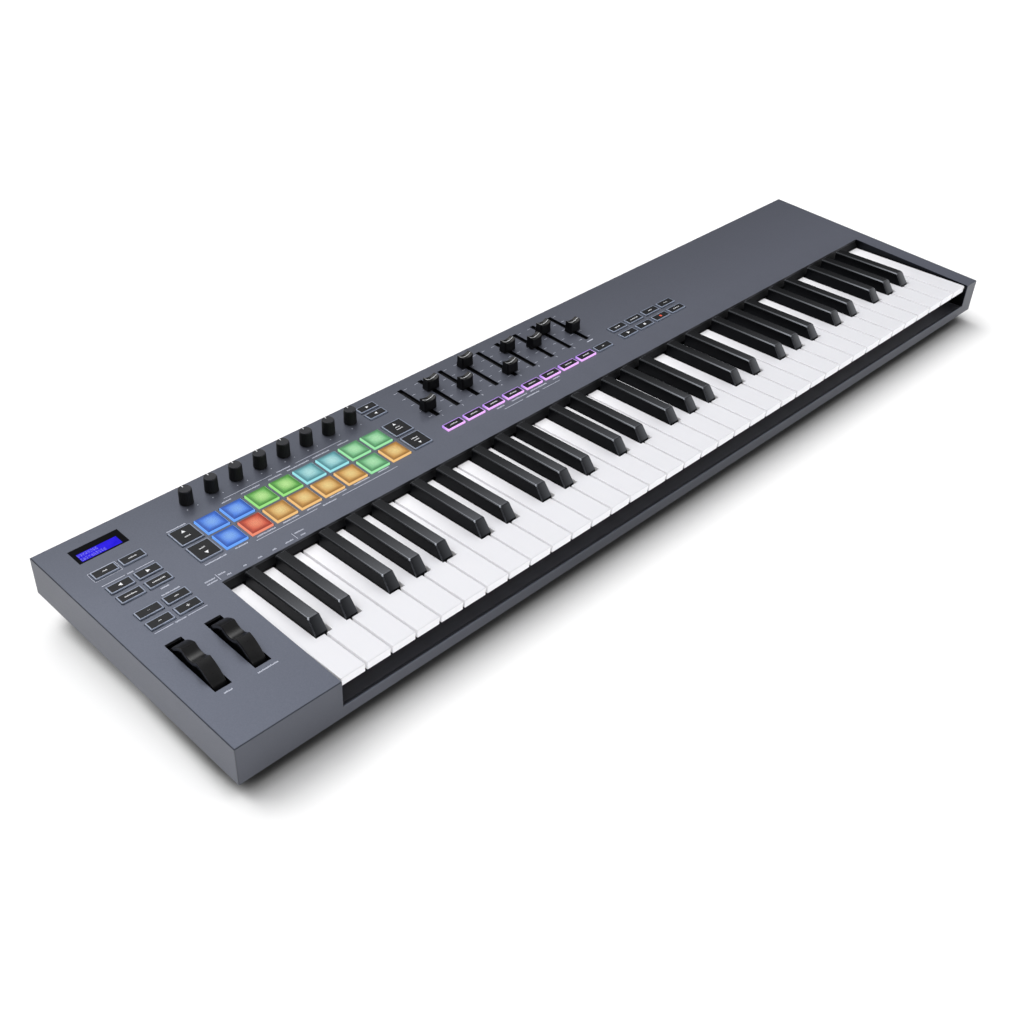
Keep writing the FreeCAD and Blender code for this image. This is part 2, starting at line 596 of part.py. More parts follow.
for controls, height, chamfer in ((BUTTONS, 1.5, 0.4), (PADS, 1.8, 0.9)):
    for name, row in controls.items():
        save(name, [slab_button(control, height, chamfer) for control in row])
for i, x in enumerate(KNOB_XS):
    save("knob_%d" % (i + 1), knob(x))
for i, (x, y) in enumerate(zip(FADER_XS, FADER_REST)):
    save("fader_%d" % (i + 1), fader(x, y))
save("fader_pots", [fader_pot(x) for x in FADER_XS])
save("knob_pots", [knob_pot(x) for x in KNOB_XS])

save("pitch_wheel", wheel(PITCH_WHEEL_X, right_reach=9.0))
save("mod_wheel", wheel(MOD_WHEEL_X, right_reach=SHAFT_STUB))
save("wheel_bracket", wheel_bracket())
save("pitch_wheel_spring", pitch_wheel_spring())

save("panel_board", panel_board())
save("button_membrane", [membrane_sheet(*sheet) for sheet in MEMBRANES])
save("display_window", display_window())
save("display_module", display_module())
save("connector_board", connector_board())
save("usb_socket", usb_socket())

save("top_case", top_case())
save("bottom_case", bottom_case())
save("rubber_feet", [level(cylinder(x, y, 9.0, 0, FOOT_H))
                     for x in (60, CASE_W / 2, CASE_W - 60) for y in (36, 228)])
save("case_screws", [case_screw(x, y, 13.5) for x, y in DEEP_SCREWS]
     + [case_screw(x, y, 6.4) for x, y in FRONT_SCREWS])
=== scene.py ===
"""
A 61-key music keyboard: keys, two wheels, knobs, faders, lit pads, buttons and a small display.

X runs left to right, Y front to rear, Z up, and the player sits on the -Y side. The case is a
slab tilted up towards the rear, centred on X and Y. Sizes are in millimetres unless noted.
"""
import bpy
import bmesh
import math
import random
from mathutils import Matrix, Vector


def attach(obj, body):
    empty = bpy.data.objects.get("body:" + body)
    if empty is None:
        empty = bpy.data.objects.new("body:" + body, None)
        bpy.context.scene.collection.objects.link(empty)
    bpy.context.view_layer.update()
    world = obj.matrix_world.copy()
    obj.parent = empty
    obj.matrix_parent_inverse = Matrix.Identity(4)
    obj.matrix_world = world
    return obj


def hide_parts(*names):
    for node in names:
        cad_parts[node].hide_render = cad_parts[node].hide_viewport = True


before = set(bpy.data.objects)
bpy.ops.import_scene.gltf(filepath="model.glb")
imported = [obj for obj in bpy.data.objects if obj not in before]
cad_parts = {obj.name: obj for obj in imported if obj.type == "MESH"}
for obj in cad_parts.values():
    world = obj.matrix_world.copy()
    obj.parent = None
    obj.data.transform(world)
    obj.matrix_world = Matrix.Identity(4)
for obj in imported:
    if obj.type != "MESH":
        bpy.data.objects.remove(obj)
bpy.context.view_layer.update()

MM = 0.001

# ---------------------------------------------------------------- driving dimensions
CASE_W, CASE_D, CASE_T = 955.0, 257.6, 34.8
TILT = math.radians(3.4)
CASE_LIFT = 12.0
CENTRE_Y = (CASE_D * math.cos(TILT) - CASE_T * math.sin(TILT)) / 2.0

KEY_X0, PITCH, N_WHITE = 90.36, 23.5, 36
OCTAVE = 7 * PITCH
KEY_Y0, NOTCH_Y, KEY_REAR = 1.0, 46.5, 141.0
KEY_TOP, SKIRT = 46.1, 7.1
SIDE_GAP = 0.92                               # from a pitch line to the side of a white key
BLACK_Y0, BLACK_Y1, BLACK_REAR, BLACK_H = 47.6, 55.4, 131.0, 11.8
BLACK_BASE_W, BLACK_TOP_W, NOTCH_W = 11.6, 8.8, 13.4
PIVOT_Y, PIVOT_Z, ARM_W = 187.0, 34.0, 8.0
NOTES = ("c", "c_sharp", "d", "d_sharp", "e", "f",
         "f_sharp", "g", "g_sharp", "a", "a_sharp", "b")
WHITES, BLACKS = (0, 2, 4, 5, 7, 9, 11), (1, 3, 6, 8, 10)

WHEEL_R, WHEEL_W, WHEEL_Y, WHEEL_AXIS_Z = 31.0, 11.6, 81.0, CASE_T - 18.5
PITCH_WHEEL_X, MOD_WHEEL_X = 27.85, 61.05
KNOB_X = [124.4 + 24.0 * i for i in range(8)]
KNOB_Y = 235.8
PAD_X = [124.2 + 24.0 * i for i in range(8)]
PAD_REAR_Y, PAD_FRONT_Y = 201.2, 177.2
PAD_SIZE, PAD_H = 20.6, 1.8
FADER_X = [357.2 + 24.45 * i for i in range(9)]
FADER_Y = (207.0, 229.8, 211.1, 236.8, 202.2, 230.0, 218.6, 230.2, 213.9)
CAP_W, CAP_D, CAP_H = 14.4, 8.8, 12.0

BUTTON_H = 1.5
MODE_COLS, MODE_ROWS = (32.6, 56.2), (206.4, 185.2, 171.1, 148.0, 133.6)
MODE_SIZE = (20.3, 9.4)
SQUARE_SIZE, SQUARE_ROWS = (20.4, 20.4), (201.7, 177.7)
PRESET_X, BANK_X = 100.7, 317.0
PAGE_PLACES, PAGE_SIZE = ((317.1, 242.9), (317.1, 230.6)), (19.6, 9.0)
CHANNEL_Y, CHANNEL_SIZE = 173.7, (20.8, 9.0)
TRANSPORT_COLS, TRANSPORT_ROWS = (590.0, 614.4, 638.9, 663.0), (188.0, 173.8)

# PANEL follows the tilted slab from its front left bottom edge, LEVEL stays flat on the floor.
PANEL_ORIGIN = Vector((-CASE_W / 2 * MM, -CENTRE_Y * MM, CASE_LIFT * MM))
PANEL = Matrix.Translation(PANEL_ORIGIN) @ Matrix.Rotation(TILT, 4, "X")
LEVEL = Matrix.Translation((-CASE_W / 2 * MM, -CENTRE_Y * MM, 0.0))


def at(base, x, y, z=0.0):
    return base @ Matrix.Translation((x * MM, y * MM, z * MM))


# ---------------------------------------------------------------- colours and node graphs
def srgb(code):
    """Linear RGBA of a #rrggbb code."""
    channels = [int(code[i:i + 2], 16) / 255 for i in (1, 3, 5)]
    linear = (c / 12.92 if c <= 0.04045 else ((c + 0.055) / 1.055) ** 2.4 for c in channels)
    return tuple(linear) + (1.0,)


def toned(color, gain):
    """The colour, given as a code or linear numbers, made darker or lighter."""
    if isinstance(color, str):
        color = srgb(color)
    return (color[0] * gain, color[1] * gain, color[2] * gain, 1.0)


def operator(operation, swap=False):
    def apply(this, other):
        operands = (other, this) if swap else (this, other)
        return this.graph.math(operation, *operands)
    return apply


class Value:
    """A node output usable in arithmetic: each operator adds a Math node."""

    def __init__(self, graph, socket):
        self.graph = graph
        self.socket = socket

    __add__ = operator("ADD")
    __radd__ = operator("ADD", swap=True)
    __sub__ = operator("SUBTRACT")
    __rsub__ = operator("SUBTRACT", swap=True)
    __mul__ = operator("MULTIPLY")
    __rmul__ = operator("MULTIPLY", swap=True)
    __truediv__ = operator("DIVIDE")
    __gt__ = operator("GREATER_THAN")
    __lt__ = operator("LESS_THAN")

    def __abs__(self):
        return self.graph.math("ABSOLUTE", self)

    def swing(self, amount):
        """Noise turned into a deviation about zero."""
        return (self - 0.5) * amount

    def ramp(self, start, end, to=(0.0, 1.0), smooth=False):
        """Carries start..end onto the range `to`, clamped at both ends."""
        return self.graph.node("MapRange", dict(enumerate((self, start, end, *to))),
                               interpolation_type="SMOOTHSTEP" if smooth else "LINEAR")


class Graph:
    """A node tree written as expressions: numbers, colours and Values mix freely."""

    def __init__(self, tree):
        self.tree = tree

    def put(self, socket, value):
        if isinstance(value, Value):
            self.tree.links.new(value.socket, socket)
            return
        if isinstance(value, str):
            value = srgb(value)
        if isinstance(value, tuple):
            value += (1.0,) * (len(socket.default_value) - len(value))
        socket.default_value = value

    def node(self, kind, inputs, output=0, **settings):
        """Adds a node; inputs maps a socket's name or index to its value."""
        node = self.tree.nodes.new("ShaderNode" + kind)
        for name, setting in settings.items():
            setattr(node, name, setting)
        for key, value in inputs.items():
            self.put(node.inputs[key], value)
        return Value(self, node.outputs[output])

    def math(self, operation, *operands, clamp=False):
        return self.node("Math", dict(enumerate(operands)), operation=operation, use_clamp=clamp)

    def dot(self, a, b):
        return self.node("VectorMath", {0: a, 1: b}, "Value", operation="DOT_PRODUCT")

    def split(self, vector):
        x = self.node("SeparateXYZ", {0: vector})
        return [Value(self, socket) for socket in x.socket.node.outputs]


class Material(Graph):
    INPUTS = {"color": "Base Color", "rough": "Roughness", "metal": "Metallic", "ior": "IOR",
              "spec": "Specular IOR Level", "tint": "Specular Tint", "normal": "Normal",
              "coat_rough": "Coat Roughness", "sheen": "Sheen Weight",
              "emit": "Emission Color", "emit_s": "Emission Strength",
              "sss": "Subsurface Weight", "sss_r": "Subsurface Radius",
              "sss_s": "Subsurface Scale"}

    def __init__(self, name):
        self.material = bpy.data.materials.new(name)
        self.material.use_nodes = True
        super().__init__(self.material.node_tree)
        self.tree.nodes.clear()
        output = self.tree.nodes.new("ShaderNodeOutputMaterial")
        self.principled = self.tree.nodes.new("ShaderNodeBsdfPrincipled")
        self.tree.links.new(self.principled.outputs[0], output.inputs[0])
        self.coords = self.node("TexCoord", {}, "Object")
        self.generated = Value(self, self.coords.socket.node.outputs["Generated"])

    def surface(self, **inputs):
        """Fills in the surface and returns the finished material."""
        for key, value in inputs.items():
            self.put(self.principled.inputs[self.INPUTS[key]], value)
        return self.material

    def math(self, operation, *operands, clamp=False):
        """Operands that aren't given are held at zero."""
        return super().math(operation, *(operands + (0.0, 0.0))[:3], clamp=clamp)

    def combine(self, x, y, z):
        return self.node("CombineXYZ", {0: x, 1: y, 2: z})

    def normal(self):
        return self.node("NewGeometry", {}, "Normal")

    def noise(self, scale, detail=3.0, rough=0.5, vector=None):
        return self.node("TexNoise", {"Scale": scale, "Detail": detail, "Roughness": rough,
                                      "Vector": vector or self.coords}, "Fac")

    def mix(self, factor, a, b, blend="MIX"):
        return self.node("Mix", {0: factor, 6: a, 7: b}, 2, data_type="RGBA", blend_type=blend)

    def mottled(self, noise, color, dark, light):
        """The colour wandering between two gains with the noise."""
        return self.mix(noise.ramp(0.3, 0.7), toned(color, dark), toned(color, light))

    def bump(self, height, distance, strength, under=None):
        inputs = {"Distance": distance, "Strength": strength, "Height": height}
        if under is not None:
            inputs["Normal"] = under
        return self.node("Bump", inputs)

    def edge(self, radius):
        """0 on flat faces, rising to 1 on convex and concave edges within the radius."""
        rounded = self.node("Bevel", {"Radius": radius}, samples=4)
        return self.dot(rounded, self.normal()).ramp(0.999, 0.90)

    def panel_coords(self):
        """Object coordinates carried back into the untilted frame of the panel, in metres."""
        turn = Matrix.Rotation(TILT, 3, "X").transposed()
        return self.node("Mapping", {"Location": tuple(-(turn @ PANEL_ORIGIN)),
                                     "Rotation": (-TILT, 0, 0), "Vector": self.coords})


# ---------------------------------------------------------------- materials
def moulded(name, color, rough=0.45, grain=0.00035, depth=0.00002, vary=0.05, spec=0.5,
            edge_wear_and_highlight=0.25, edge_wear_and_highlight_radius=0.0004):
    """Plastic with a fine grain, faint cloudy tone and slightly polished edges, lightened partly as
    wear and partly as a painted highlight.
    """
    mat = Material(name)
    cloud = mat.noise(scale=14.0, detail=4.0, rough=0.6)
    speck = mat.noise(scale=1.0 / grain * 0.5, detail=2.0, rough=0.6)
    tone = cloud.swing(vary * 2) + speck.swing(vary * 2)
    body = mat.mix(mat.math("ADD", 0.5, tone, clamp=True), toned(color, 0.86), toned(color, 1.14))
    edge = mat.edge(edge_wear_and_highlight_radius)
    # edges lightened: partly rubbed wear, partly a painted highlight
    body = mat.mix(edge * edge_wear_and_highlight, body, toned(color, 1.9))
    patches = rough + mat.noise(scale=45.0, rough=0.6).swing(0.16)
    polish = mat.math("SUBTRACT", patches, edge * 0.1, clamp=True)
    grain_noise = mat.noise(scale=1.0 / grain, detail=2.0, rough=0.55)
    return mat.surface(color=body, rough=polish, spec=spec, coat_rough=0.25,
                       normal=mat.bump(grain_noise, distance=depth, strength=1.0))


def case_material():
    """Blue-grey matt case, sparkle grained, with a thin dark line round the outer edges."""
    mat = Material("case_plastic_vis")
    base = (0.073, 0.0775, 0.0980)
    panel = mat.panel_coords()
    x, y, z = mat.split(panel)
    # distances from the side, front or rear, and top faces; the second smallest draws the line
    from_side = mat.math("MINIMUM", x, CASE_W * MM - x)
    from_end = mat.math("MINIMUM", y, CASE_D * MM - y)
    from_top = CASE_T * MM - z
    nearer = mat.math("MINIMUM", from_side, from_end)
    farther = mat.math("MAXIMUM", from_side, from_end)
    second = mat.math("MAXIMUM", nearer, mat.math("MINIMUM", farther, from_top))
    line = second.ramp(0.00110, 0.00060)

    cloud = mat.noise(scale=6.0, detail=4.0, rough=0.55, vector=panel)
    speck = mat.noise(scale=900.0, detail=2.0, rough=0.7)
    fine = mat.noise(scale=2600.0, detail=2.0, rough=0.6)
    tone = cloud.swing(0.12) + speck.swing(1.3)
    color = mat.mix(mat.math("ADD", 0.5, tone, clamp=True), toned(base, 0.80), toned(base, 1.20))
    color = mat.mix(line * 0.80, color, "#202228")

    # the lip in front of the keys with painted shade on its top and a painted highlight on its
    # front rim, and the walls inside the openings with painted shade
    lip_z = 10.2 * MM
    normal = mat.normal()
    faces_up = mat.split(normal)[2] > 0.75
    near_lip = (abs(z - lip_z) < 0.5 * MM) * (y < 3.4 * MM)
    on_lip = faces_up * near_lip * y.ramp(0.7 * MM, 0.95 * MM)
    along_keys = (x > KEY_X0 * MM) * (x < (KEY_X0 + N_WHITE * PITCH) * MM)
    rim = (abs(z - lip_z) < 0.6 * MM) * (y < 0.85 * MM) * along_keys
    upright = abs(mat.split(normal)[2]) < 0.6
    inner = (from_side > 2.0 * MM) * (from_end > 0.6 * MM) * upright
    inner = inner * from_top.ramp(0.30 * MM, 0.55 * MM)
    painted_shade_parts = mat.math("MAXIMUM", on_lip, inner)
    edge = mat.edge(0.00035) * (1.0 - painted_shade_parts)
    # painted shade: the lip's top and the walls inside the openings are painted dark
    color = mat.mix(painted_shade_parts, color, mat.mix(inner, "#2c2d31", "#0d0e10"))
    # painted highlight: the edges are lightened
    color = mat.mix(edge * (1.0 - line) * 0.35, color, toned(base, 1.7))

    # painted shade: the front wall darkens along x and turns less blue, and the panel darkens
    # towards the rear, its specular with it
    normal_y = mat.split(normal)[1]
    along = x.ramp(0.12, 0.34, to=(0.06, 0.42)) - x.ramp(0.55, 0.85, to=(0.0, 0.14))
    front = normal_y.ramp(-0.7, -0.9) * along
    color = mat.mix(normal_y.ramp(-0.7, -0.9, to=(0.0, 0.55)), color, (0.079, 0.080, 0.088))
    shade = y.ramp(0.165, CASE_D * MM, to=(1.04, 0.82)) - front
    # painted highlight along the lip's front rim
    color = mat.mix(rim * 0.85, color, toned(base, 1.65))
    color = mat.node("VectorMath", {0: color, "Scale": shade}, operation="SCALE")
    spec = shade * (0.52 - painted_shade_parts * inner.ramp(0.0, 1.0, to=(0.24, 0.40)))
    return mat.surface(color=color, spec=spec, tint=(0.68, 0.77, 1.0),
                       rough=0.36 + mat.noise(scale=30.0, rough=0.6).swing(0.08),
                       normal=mat.bump(fine, distance=0.000012, strength=0.9))


def white_key_material():
    """Glossy white; painted light: a faint emission lifts the walls and the rear of the top out of
    their shade.
    """
    mat = Material("key_white_vis")
    cloud = mat.noise(scale=25.0)
    color = mat.mottled(cloud, (0.69, 0.69, 0.722), dark=0.99, light=1.008)
    # painted highlight: the edges are lightened
    color = mat.mix(mat.edge(0.0006) * 0.25, color, (0.9, 0.9, 0.92))
    smudge = mat.noise(scale=60.0, detail=4.0, rough=0.65)
    grain = mat.noise(scale=2600.0, detail=2.0)
    normal_x, normal_y, normal_z = mat.split(mat.normal())
    # painted light: emission on the walls and, rising towards the rear, on the top, where shade
    # would fall
    front_wall = normal_y.ramp(-0.55, -0.9, smooth=True)
    side_wall = abs(normal_x).ramp(0.6, 0.9, to=(0.0, 0.72), smooth=True)
    wall = front_wall + side_wall
    y = mat.split(mat.coords)[1]
    # painted shade: the tail of the key under the panel is painted near black
    painted_dark_tail = y.ramp(133.2 * MM, 134.4 * MM)                  # the part under the panel
    color = mat.mix(painted_dark_tail, color, "#0c0d0f")
    back_end = y.ramp(50.0 * MM, BLACK_REAR * MM, to=(0.0, 1.15)) * (1.0 - painted_dark_tail)
    painted_light_lift = wall + back_end * normal_z.ramp(0.7, 0.9)
    return mat.surface(color=color, rough=smudge.ramp(0.3, 0.75, to=(0.28, 0.30)), spec=0.42,
                       normal=mat.bump(grain, distance=0.0000006, strength=0.6),
                       sss=0.06, sss_r=(0.0012, 0.0011, 0.001), sss_s=1.0,
                       emit=(0.86, 0.835, 0.82), emit_s=painted_light_lift * (1.0 - painted_dark_tail) * 0.22)


def black_key_material():
    """Black, brushed along the key; specular differs over the top, front slope and shoulder."""
    mat = Material("key_black_vis")
    color = mat.mottled(mat.noise(scale=40.0), "#0b0c0e", dark=0.85, light=1.12)
    edge = mat.edge(0.0005)
    x, y, z = mat.split(mat.coords)
    stretched = mat.combine(x * 2600.0, y * 160.0, z * 900.0)
    brushed = mat.noise(scale=1.0, detail=4.0, rough=0.6, vector=stretched)
    _, normal_y, normal_z = mat.split(mat.normal())
    across = mat.split(mat.generated)[0]

    def facing(normal_axis, start, end):
        return normal_axis.ramp(start, end, smooth=True)

    top = facing(normal_z, 0.25, 0.7) * facing(normal_y, -0.55, -0.30)
    slope = facing(normal_y, -0.45, -0.62) * facing(normal_z, 0.25, 0.5)
    shoulder = facing(normal_y, -0.10, -0.24) * facing(normal_y, -0.58, -0.40)
    high = normal_z.ramp(0.15, 0.45)
    # painted highlight along the upward-facing edges
    color = mat.mix(edge * high * 0.55, color, "#7b7d84")
    worn = mat.math("POWER", y.ramp(BLACK_REAR * MM, 55.0 * MM), 2.2)
    spec = top * (0.08 + worn * 0.95) + slope * (0.06 + across * 1.05)
    spec = spec + shoulder * 1.5 + 0.06
    rough = top.ramp(0.0, 1.0, to=(0.36, 0.25)) + mat.noise(scale=80.0, rough=0.6).swing(0.06)
    strokes = mat.bump(brushed, distance=0.000003, strength=0.8)
    grain = mat.noise(scale=3200.0, detail=2.0, rough=0.6)
    return mat.surface(color=color, rough=rough, spec=spec, tint=(0.86, 0.90, 1.0),
                       normal=mat.bump(grain, distance=0.000003, strength=0.8, under=strokes))


def rubber(name, color, rough=0.5, spec=0.4):
    mat = Material(name)
    cloud = mat.noise(scale=120.0, detail=4.0, rough=0.6)
    body = mat.mottled(cloud, color, dark=0.8, light=1.2)
    # painted highlight: the edges are lightened
    body = mat.mix(mat.edge(0.0004) * 0.45, body, toned(color, 3.0))
    grain = mat.noise(scale=4200.0, detail=2.0, rough=0.6)
    return mat.surface(color=body, spec=spec,
                       rough=rough + mat.noise(scale=200.0, rough=0.6).swing(0.15),
                       normal=mat.bump(grain, distance=0.000005, strength=0.8))


def pad_material(name, deep, mid, bright, rim):
    """Back-lit silicone: a glow under a grid of tiny lenses, and light piped into the bevel."""
    mat = Material(name)
    x, y, _ = mat.split(mat.coords)
    half = PAD_SIZE / 2 * MM
    outward = mat.math("MAXIMUM", abs(x), abs(y))
    radius = mat.math("SQRT", x * x + y * y) / half
    glow = radius.ramp(0.05, 1.02, to=(1.0, 0.0), smooth=True)
    outward = outward / half                                 # 0 at the centre, 1 at the sides
    shade = outward.ramp(0.45, 0.9, to=(1.0, 0.62), smooth=True)

    lens_pitch, lens_share, softness = 0.00078, 0.62, 0.3

    def bars(coordinate):
        """1 on each lens row, 0 in the gaps between."""
        phase = mat.math("FRACT", coordinate / lens_pitch)
        from_middle = abs(phase - 0.5)
        return from_middle.ramp(lens_share / 2 + softness / 2, lens_share / 2 - softness / 2)

    lens = bars(x) * bars(y)
    uneven = mat.noise(scale=330.0, rough=0.6)
    color = mat.mix(glow, mid, bright)
    color = mat.mix(outward.ramp(0.55, 0.93, to=(0.0, 0.75), smooth=True), color, deep)
    top = lens.ramp(0.0, 1.0, to=(0.40, 1.24)) * shade * uneven.ramp(0.3, 0.7, to=(0.985, 1.015))
    is_rim = outward.ramp(0.905, 0.935)
    line = outward.ramp(0.875, 0.90) * outward.ramp(0.93, 0.905)
    color = mat.mix(is_rim, color, rim)
    level = mat.mix(is_rim, mat.combine(top, top, top), (1.0, 1.0, 1.0))
    lit = mat.mix(1.0, color, level, blend="MULTIPLY")
    lit = mat.mix(line * 0.55, lit, toned(deep, 0.35))
    relief = lens * (1.0 - is_rim)
    return mat.surface(color=toned(mid, 0.16), spec=0.22, emit=lit, emit_s=0.90,
                       rough=mat.noise(scale=500.0).ramp(0.3, 0.7, to=(0.32, 0.48)),
                       normal=mat.bump(relief, distance=0.00006, strength=0.6))


def skirt_material(name, color, glow=None, strength=0.0):
    """Frosted light-guide of a button; glow is the pair of colours at its rear and front."""
    mat = Material(name)
    body = mat.mottled(mat.noise(scale=300.0, rough=0.6), color, dark=0.88, light=1.1)
    # painted highlight: the edges are lightened
    body = mat.mix(mat.edge(0.00025) * 0.5, body, toned(color, 1.9))
    mat.surface(color=body, spec=0.55,
                rough=mat.noise(scale=700.0).ramp(0.3, 0.7, to=(0.28, 0.42)),
                normal=mat.bump(mat.noise(scale=3000.0), distance=0.00001, strength=0.8))
    if glow:
        y = mat.split(mat.coords)[1]
        hot = y.ramp(-0.0052, 0.004, to=(1.0, 0.0), smooth=True)
        flicker = mat.noise(scale=400.0).ramp(0.3, 0.7, to=(0.9, 1.08))
        mat.surface(emit=mat.mix(hot, *glow), emit_s=strength * flicker)
    return mat.material


def printed(name, color):
    """Screen-printed ink: thin coverage that varies a little."""
    mat = Material(name)
    cover = mat.noise(scale=1800.0, rough=0.7)
    body = mat.mix(cover.ramp(0.35, 0.6, to=(0.25, 0.0)), color, toned(color, 0.7))
    return mat.surface(color=body, rough=cover.ramp(0.3, 0.7, to=(0.42, 0.58)), spec=0.3,
                       normal=mat.bump(cover, distance=0.00001, strength=0.5))


def metal(name, color, rough):
    """Metal brushed along x."""
    mat = Material(name)
    x, y, z = mat.split(mat.coords)
    stretched = mat.combine(x * 300.0, y * 4000.0, z * 4000.0)
    brushed = mat.noise(scale=1.0, detail=4.0, rough=0.7, vector=stretched)
    return mat.surface(color=mat.mottled(brushed, color, dark=0.85, light=1.1), metal=1.0,
                       rough=brushed.ramp(0.3, 0.7, to=(rough - 0.06, rough + 0.1)),
                       normal=mat.bump(brushed, distance=0.00001, strength=0.6))


def board_material():
    """Green circuit board with lighter patches and gold dots."""
    mat = Material("circuit_board_vis")
    dots = mat.node("TexVoronoi", {"Scale": 220.0, "Vector": mat.coords}, "Distance",
                    feature="F1")
    patches = mat.noise(scale=160.0, detail=1.0) > 0.56
    color = mat.mix(patches, "#123a22", "#1c5230")
    color = mat.mix(dots.ramp(0.12, 0.06), color, "#b08a3a")
    return mat.surface(color=color, rough=0.35, spec=0.5,
                       normal=mat.bump(patches, distance=0.00002, strength=0.6))


def felt_material():
    mat = Material("felt_vis")
    fibres = mat.noise(scale=1400.0, detail=6.0, rough=0.8)
    tufts = mat.noise(scale=240.0, rough=0.6)
    color = mat.mix(fibres.ramp(0.3, 0.7), "#1c1d20", "#303136")
    color = mat.mix(tufts.ramp(0.4, 0.8, to=(0.0, 0.4)), color, "#101114")
    return mat.surface(color=color, rough=0.95, spec=0.1, sheen=0.4,
                       normal=mat.bump(fibres, distance=0.0002, strength=0.9))


def display_material():
    """Black window with a lit two-row dot display; the dots are random, not letters."""
    mat = Material("display_glass_vis")
    x, y, _ = mat.split(mat.panel_coords())
    # lit area on the panel
    x0, x1, y0, y1 = 26.5 * MM, 60.9 * MM, 227.3 * MM, 237.3 * MM
    across = (x - x0) / (x1 - x0)
    upward = (y - y0) / (y1 - y0)

    def inside(value, low, high, soft):
        return value.ramp(low, low + soft) * value.ramp(high, high - soft)

    def floor_of(value):
        return mat.math("FLOOR", value)

    lit = inside(across, 0.0, 1.0, soft=0.006) * inside(upward, 0.0, 1.0, soft=0.02)
    # 16 characters in each of 2 rows, every one 6 dots wide and 9 high
    column = across * 16.0
    in_column = mat.math("FRACT", column)
    row = upward * 2.0
    in_row = mat.math("FRACT", row)
    dot_x = floor_of(in_column * 6.0)
    dot_y = floor_of(in_row * 9.0)
    cell = inside(in_column, 0.08, 0.84, soft=0.02) * inside(in_row, 0.12, 0.86, soft=0.02)
    seed = mat.combine(dot_x + floor_of(column) * 11.0, dot_y + floor_of(row) * 31.0, 3.0)
    dot_on = mat.node("TexWhiteNoise", {"Vector": seed}, "Value") > 0.47
    used = (upward > 0.5) * (column < 8.0) + (upward < 0.5) * (column < 10.0)
    dot_on = dot_on * used * cell

    blue = mat.mix(mat.noise(scale=120.0).ramp(0.3, 0.7), "#2418e6", "#3626f8")
    color = mat.mix(cell * 0.10, blue, "#160ec0")
    color = mat.mix(dot_on * 0.55, color, "#a9a4ff")
    smear = mat.noise(scale=90.0, detail=4.0, rough=0.65)
    return mat.surface(color=mat.mix(lit, "#0d0d10", "#0b0730"), spec=0.3, ior=1.07,
                       rough=smear.ramp(0.3, 0.75, to=(0.12, 0.22)),
                       emit=color, emit_s=lit * 0.86,
                       normal=mat.bump(mat.noise(scale=40.0), distance=0.00001, strength=0.4))


CASE = case_material()
BASE = moulded("base_plastic_vis", "#2a2b2f", rough=0.5, grain=0.0004, depth=0.00003)
BED = moulded("keybed_vis", "#3a3b41", rough=0.34, grain=0.0006, depth=0.00001, vary=0.02,
              edge_wear_and_highlight=0.1)
FASCIA = moulded("fascia_vis", "#0f1013", rough=0.6, grain=0.0005, edge_wear_and_highlight=0.05, spec=0.22)
DARK = moulded("inner_dark_vis", "#0a0a0b", rough=0.7, grain=0.0005, edge_wear_and_highlight=0.0, spec=0.2)
POT = moulded("pot_body_vis", "#08080a", rough=0.6, grain=0.0005, edge_wear_and_highlight=0.0, spec=0.2)
WHITE_KEY = white_key_material()
BLACK_KEY = black_key_material()
KNOB = rubber("knob_vis", "#090a0b", rough=0.58, spec=0.22)
KNOB_TOP = moulded("knob_top_vis", "#222328", rough=0.42, grain=0.0004, depth=0.00001,
                   edge_wear_and_highlight=0.3, spec=0.22)
FADER = moulded("fader_cap_vis", "#0a0a0b", rough=0.30, grain=0.0008, depth=0.000008,
                vary=0.03, edge_wear_and_highlight=0.10, edge_wear_and_highlight_radius=0.0005, spec=0.15)
WHEEL = rubber("wheel_vis", "#0b0b0d", rough=0.30, spec=0.42)
BUTTON_TOP = moulded("button_top_vis", "#151619", rough=0.46, grain=0.0003, depth=0.000015,
                     edge_wear_and_highlight_radius=0.0002, spec=0.16)
BUTTON_SKIRT = skirt_material("button_skirt_vis", "#7b8497")
LIT_SKIRT = skirt_material("button_skirt_lit_vis", "#6d5a86", glow=("#a878e0", "#f0b4ff"),
                           strength=0.95)
PANEL_PRINT = printed("panel_ink_vis", "#ccd0de")
WHITE_PRINT = printed("button_ink_vis", "#e6e7ea")
RED_PRINT = printed("record_ink_vis", "#e0553a")
STEEL = metal("steel_vis", "#9a9ca0", rough=0.28)
SCREW = metal("screw_vis", "#35363a", rough=0.38)
BOARD = board_material()
FELT = felt_material()
SILICONE = rubber("silicone_vis", "#6b6d72")
FOOT = rubber("foot_rubber_vis", "#101113", rough=0.75, spec=0.25)
GLASS = display_material()
PADS = {colour: pad_material("pad_%s_vis" % colour, *tones) for colour, tones in (
    # deep, mid, bright and rim tones
    ("blue", ("#1f4fb8", "#3a7df0", "#8fc0ff", "#72acff")),
    ("green", ("#3f8a35", "#6cc255", "#d0fba6", "#a2ea8a")),
    ("cyan", ("#3f8f9a", "#74bfc8", "#c4f4f2", "#a0eaf0")),
    ("mint", ("#438f57", "#74c488", "#c0f8c4", "#a2ecae")),
    ("red", ("#a8301f", "#dd5236", "#ffa27c", "#f59478")),
    ("amber", ("#a8742a", "#dca04c", "#fbe29a", "#f6c684")))}


# ---------------------------------------------------------------- mesh helpers
def add_weighted_normal(obj, weight, keep_sharp):
    modifier = obj.modifiers.new("weighted_normal", "WEIGHTED_NORMAL")
    modifier.mode = "FACE_AREA"
    modifier.weight = weight
    modifier.keep_sharp = keep_sharp


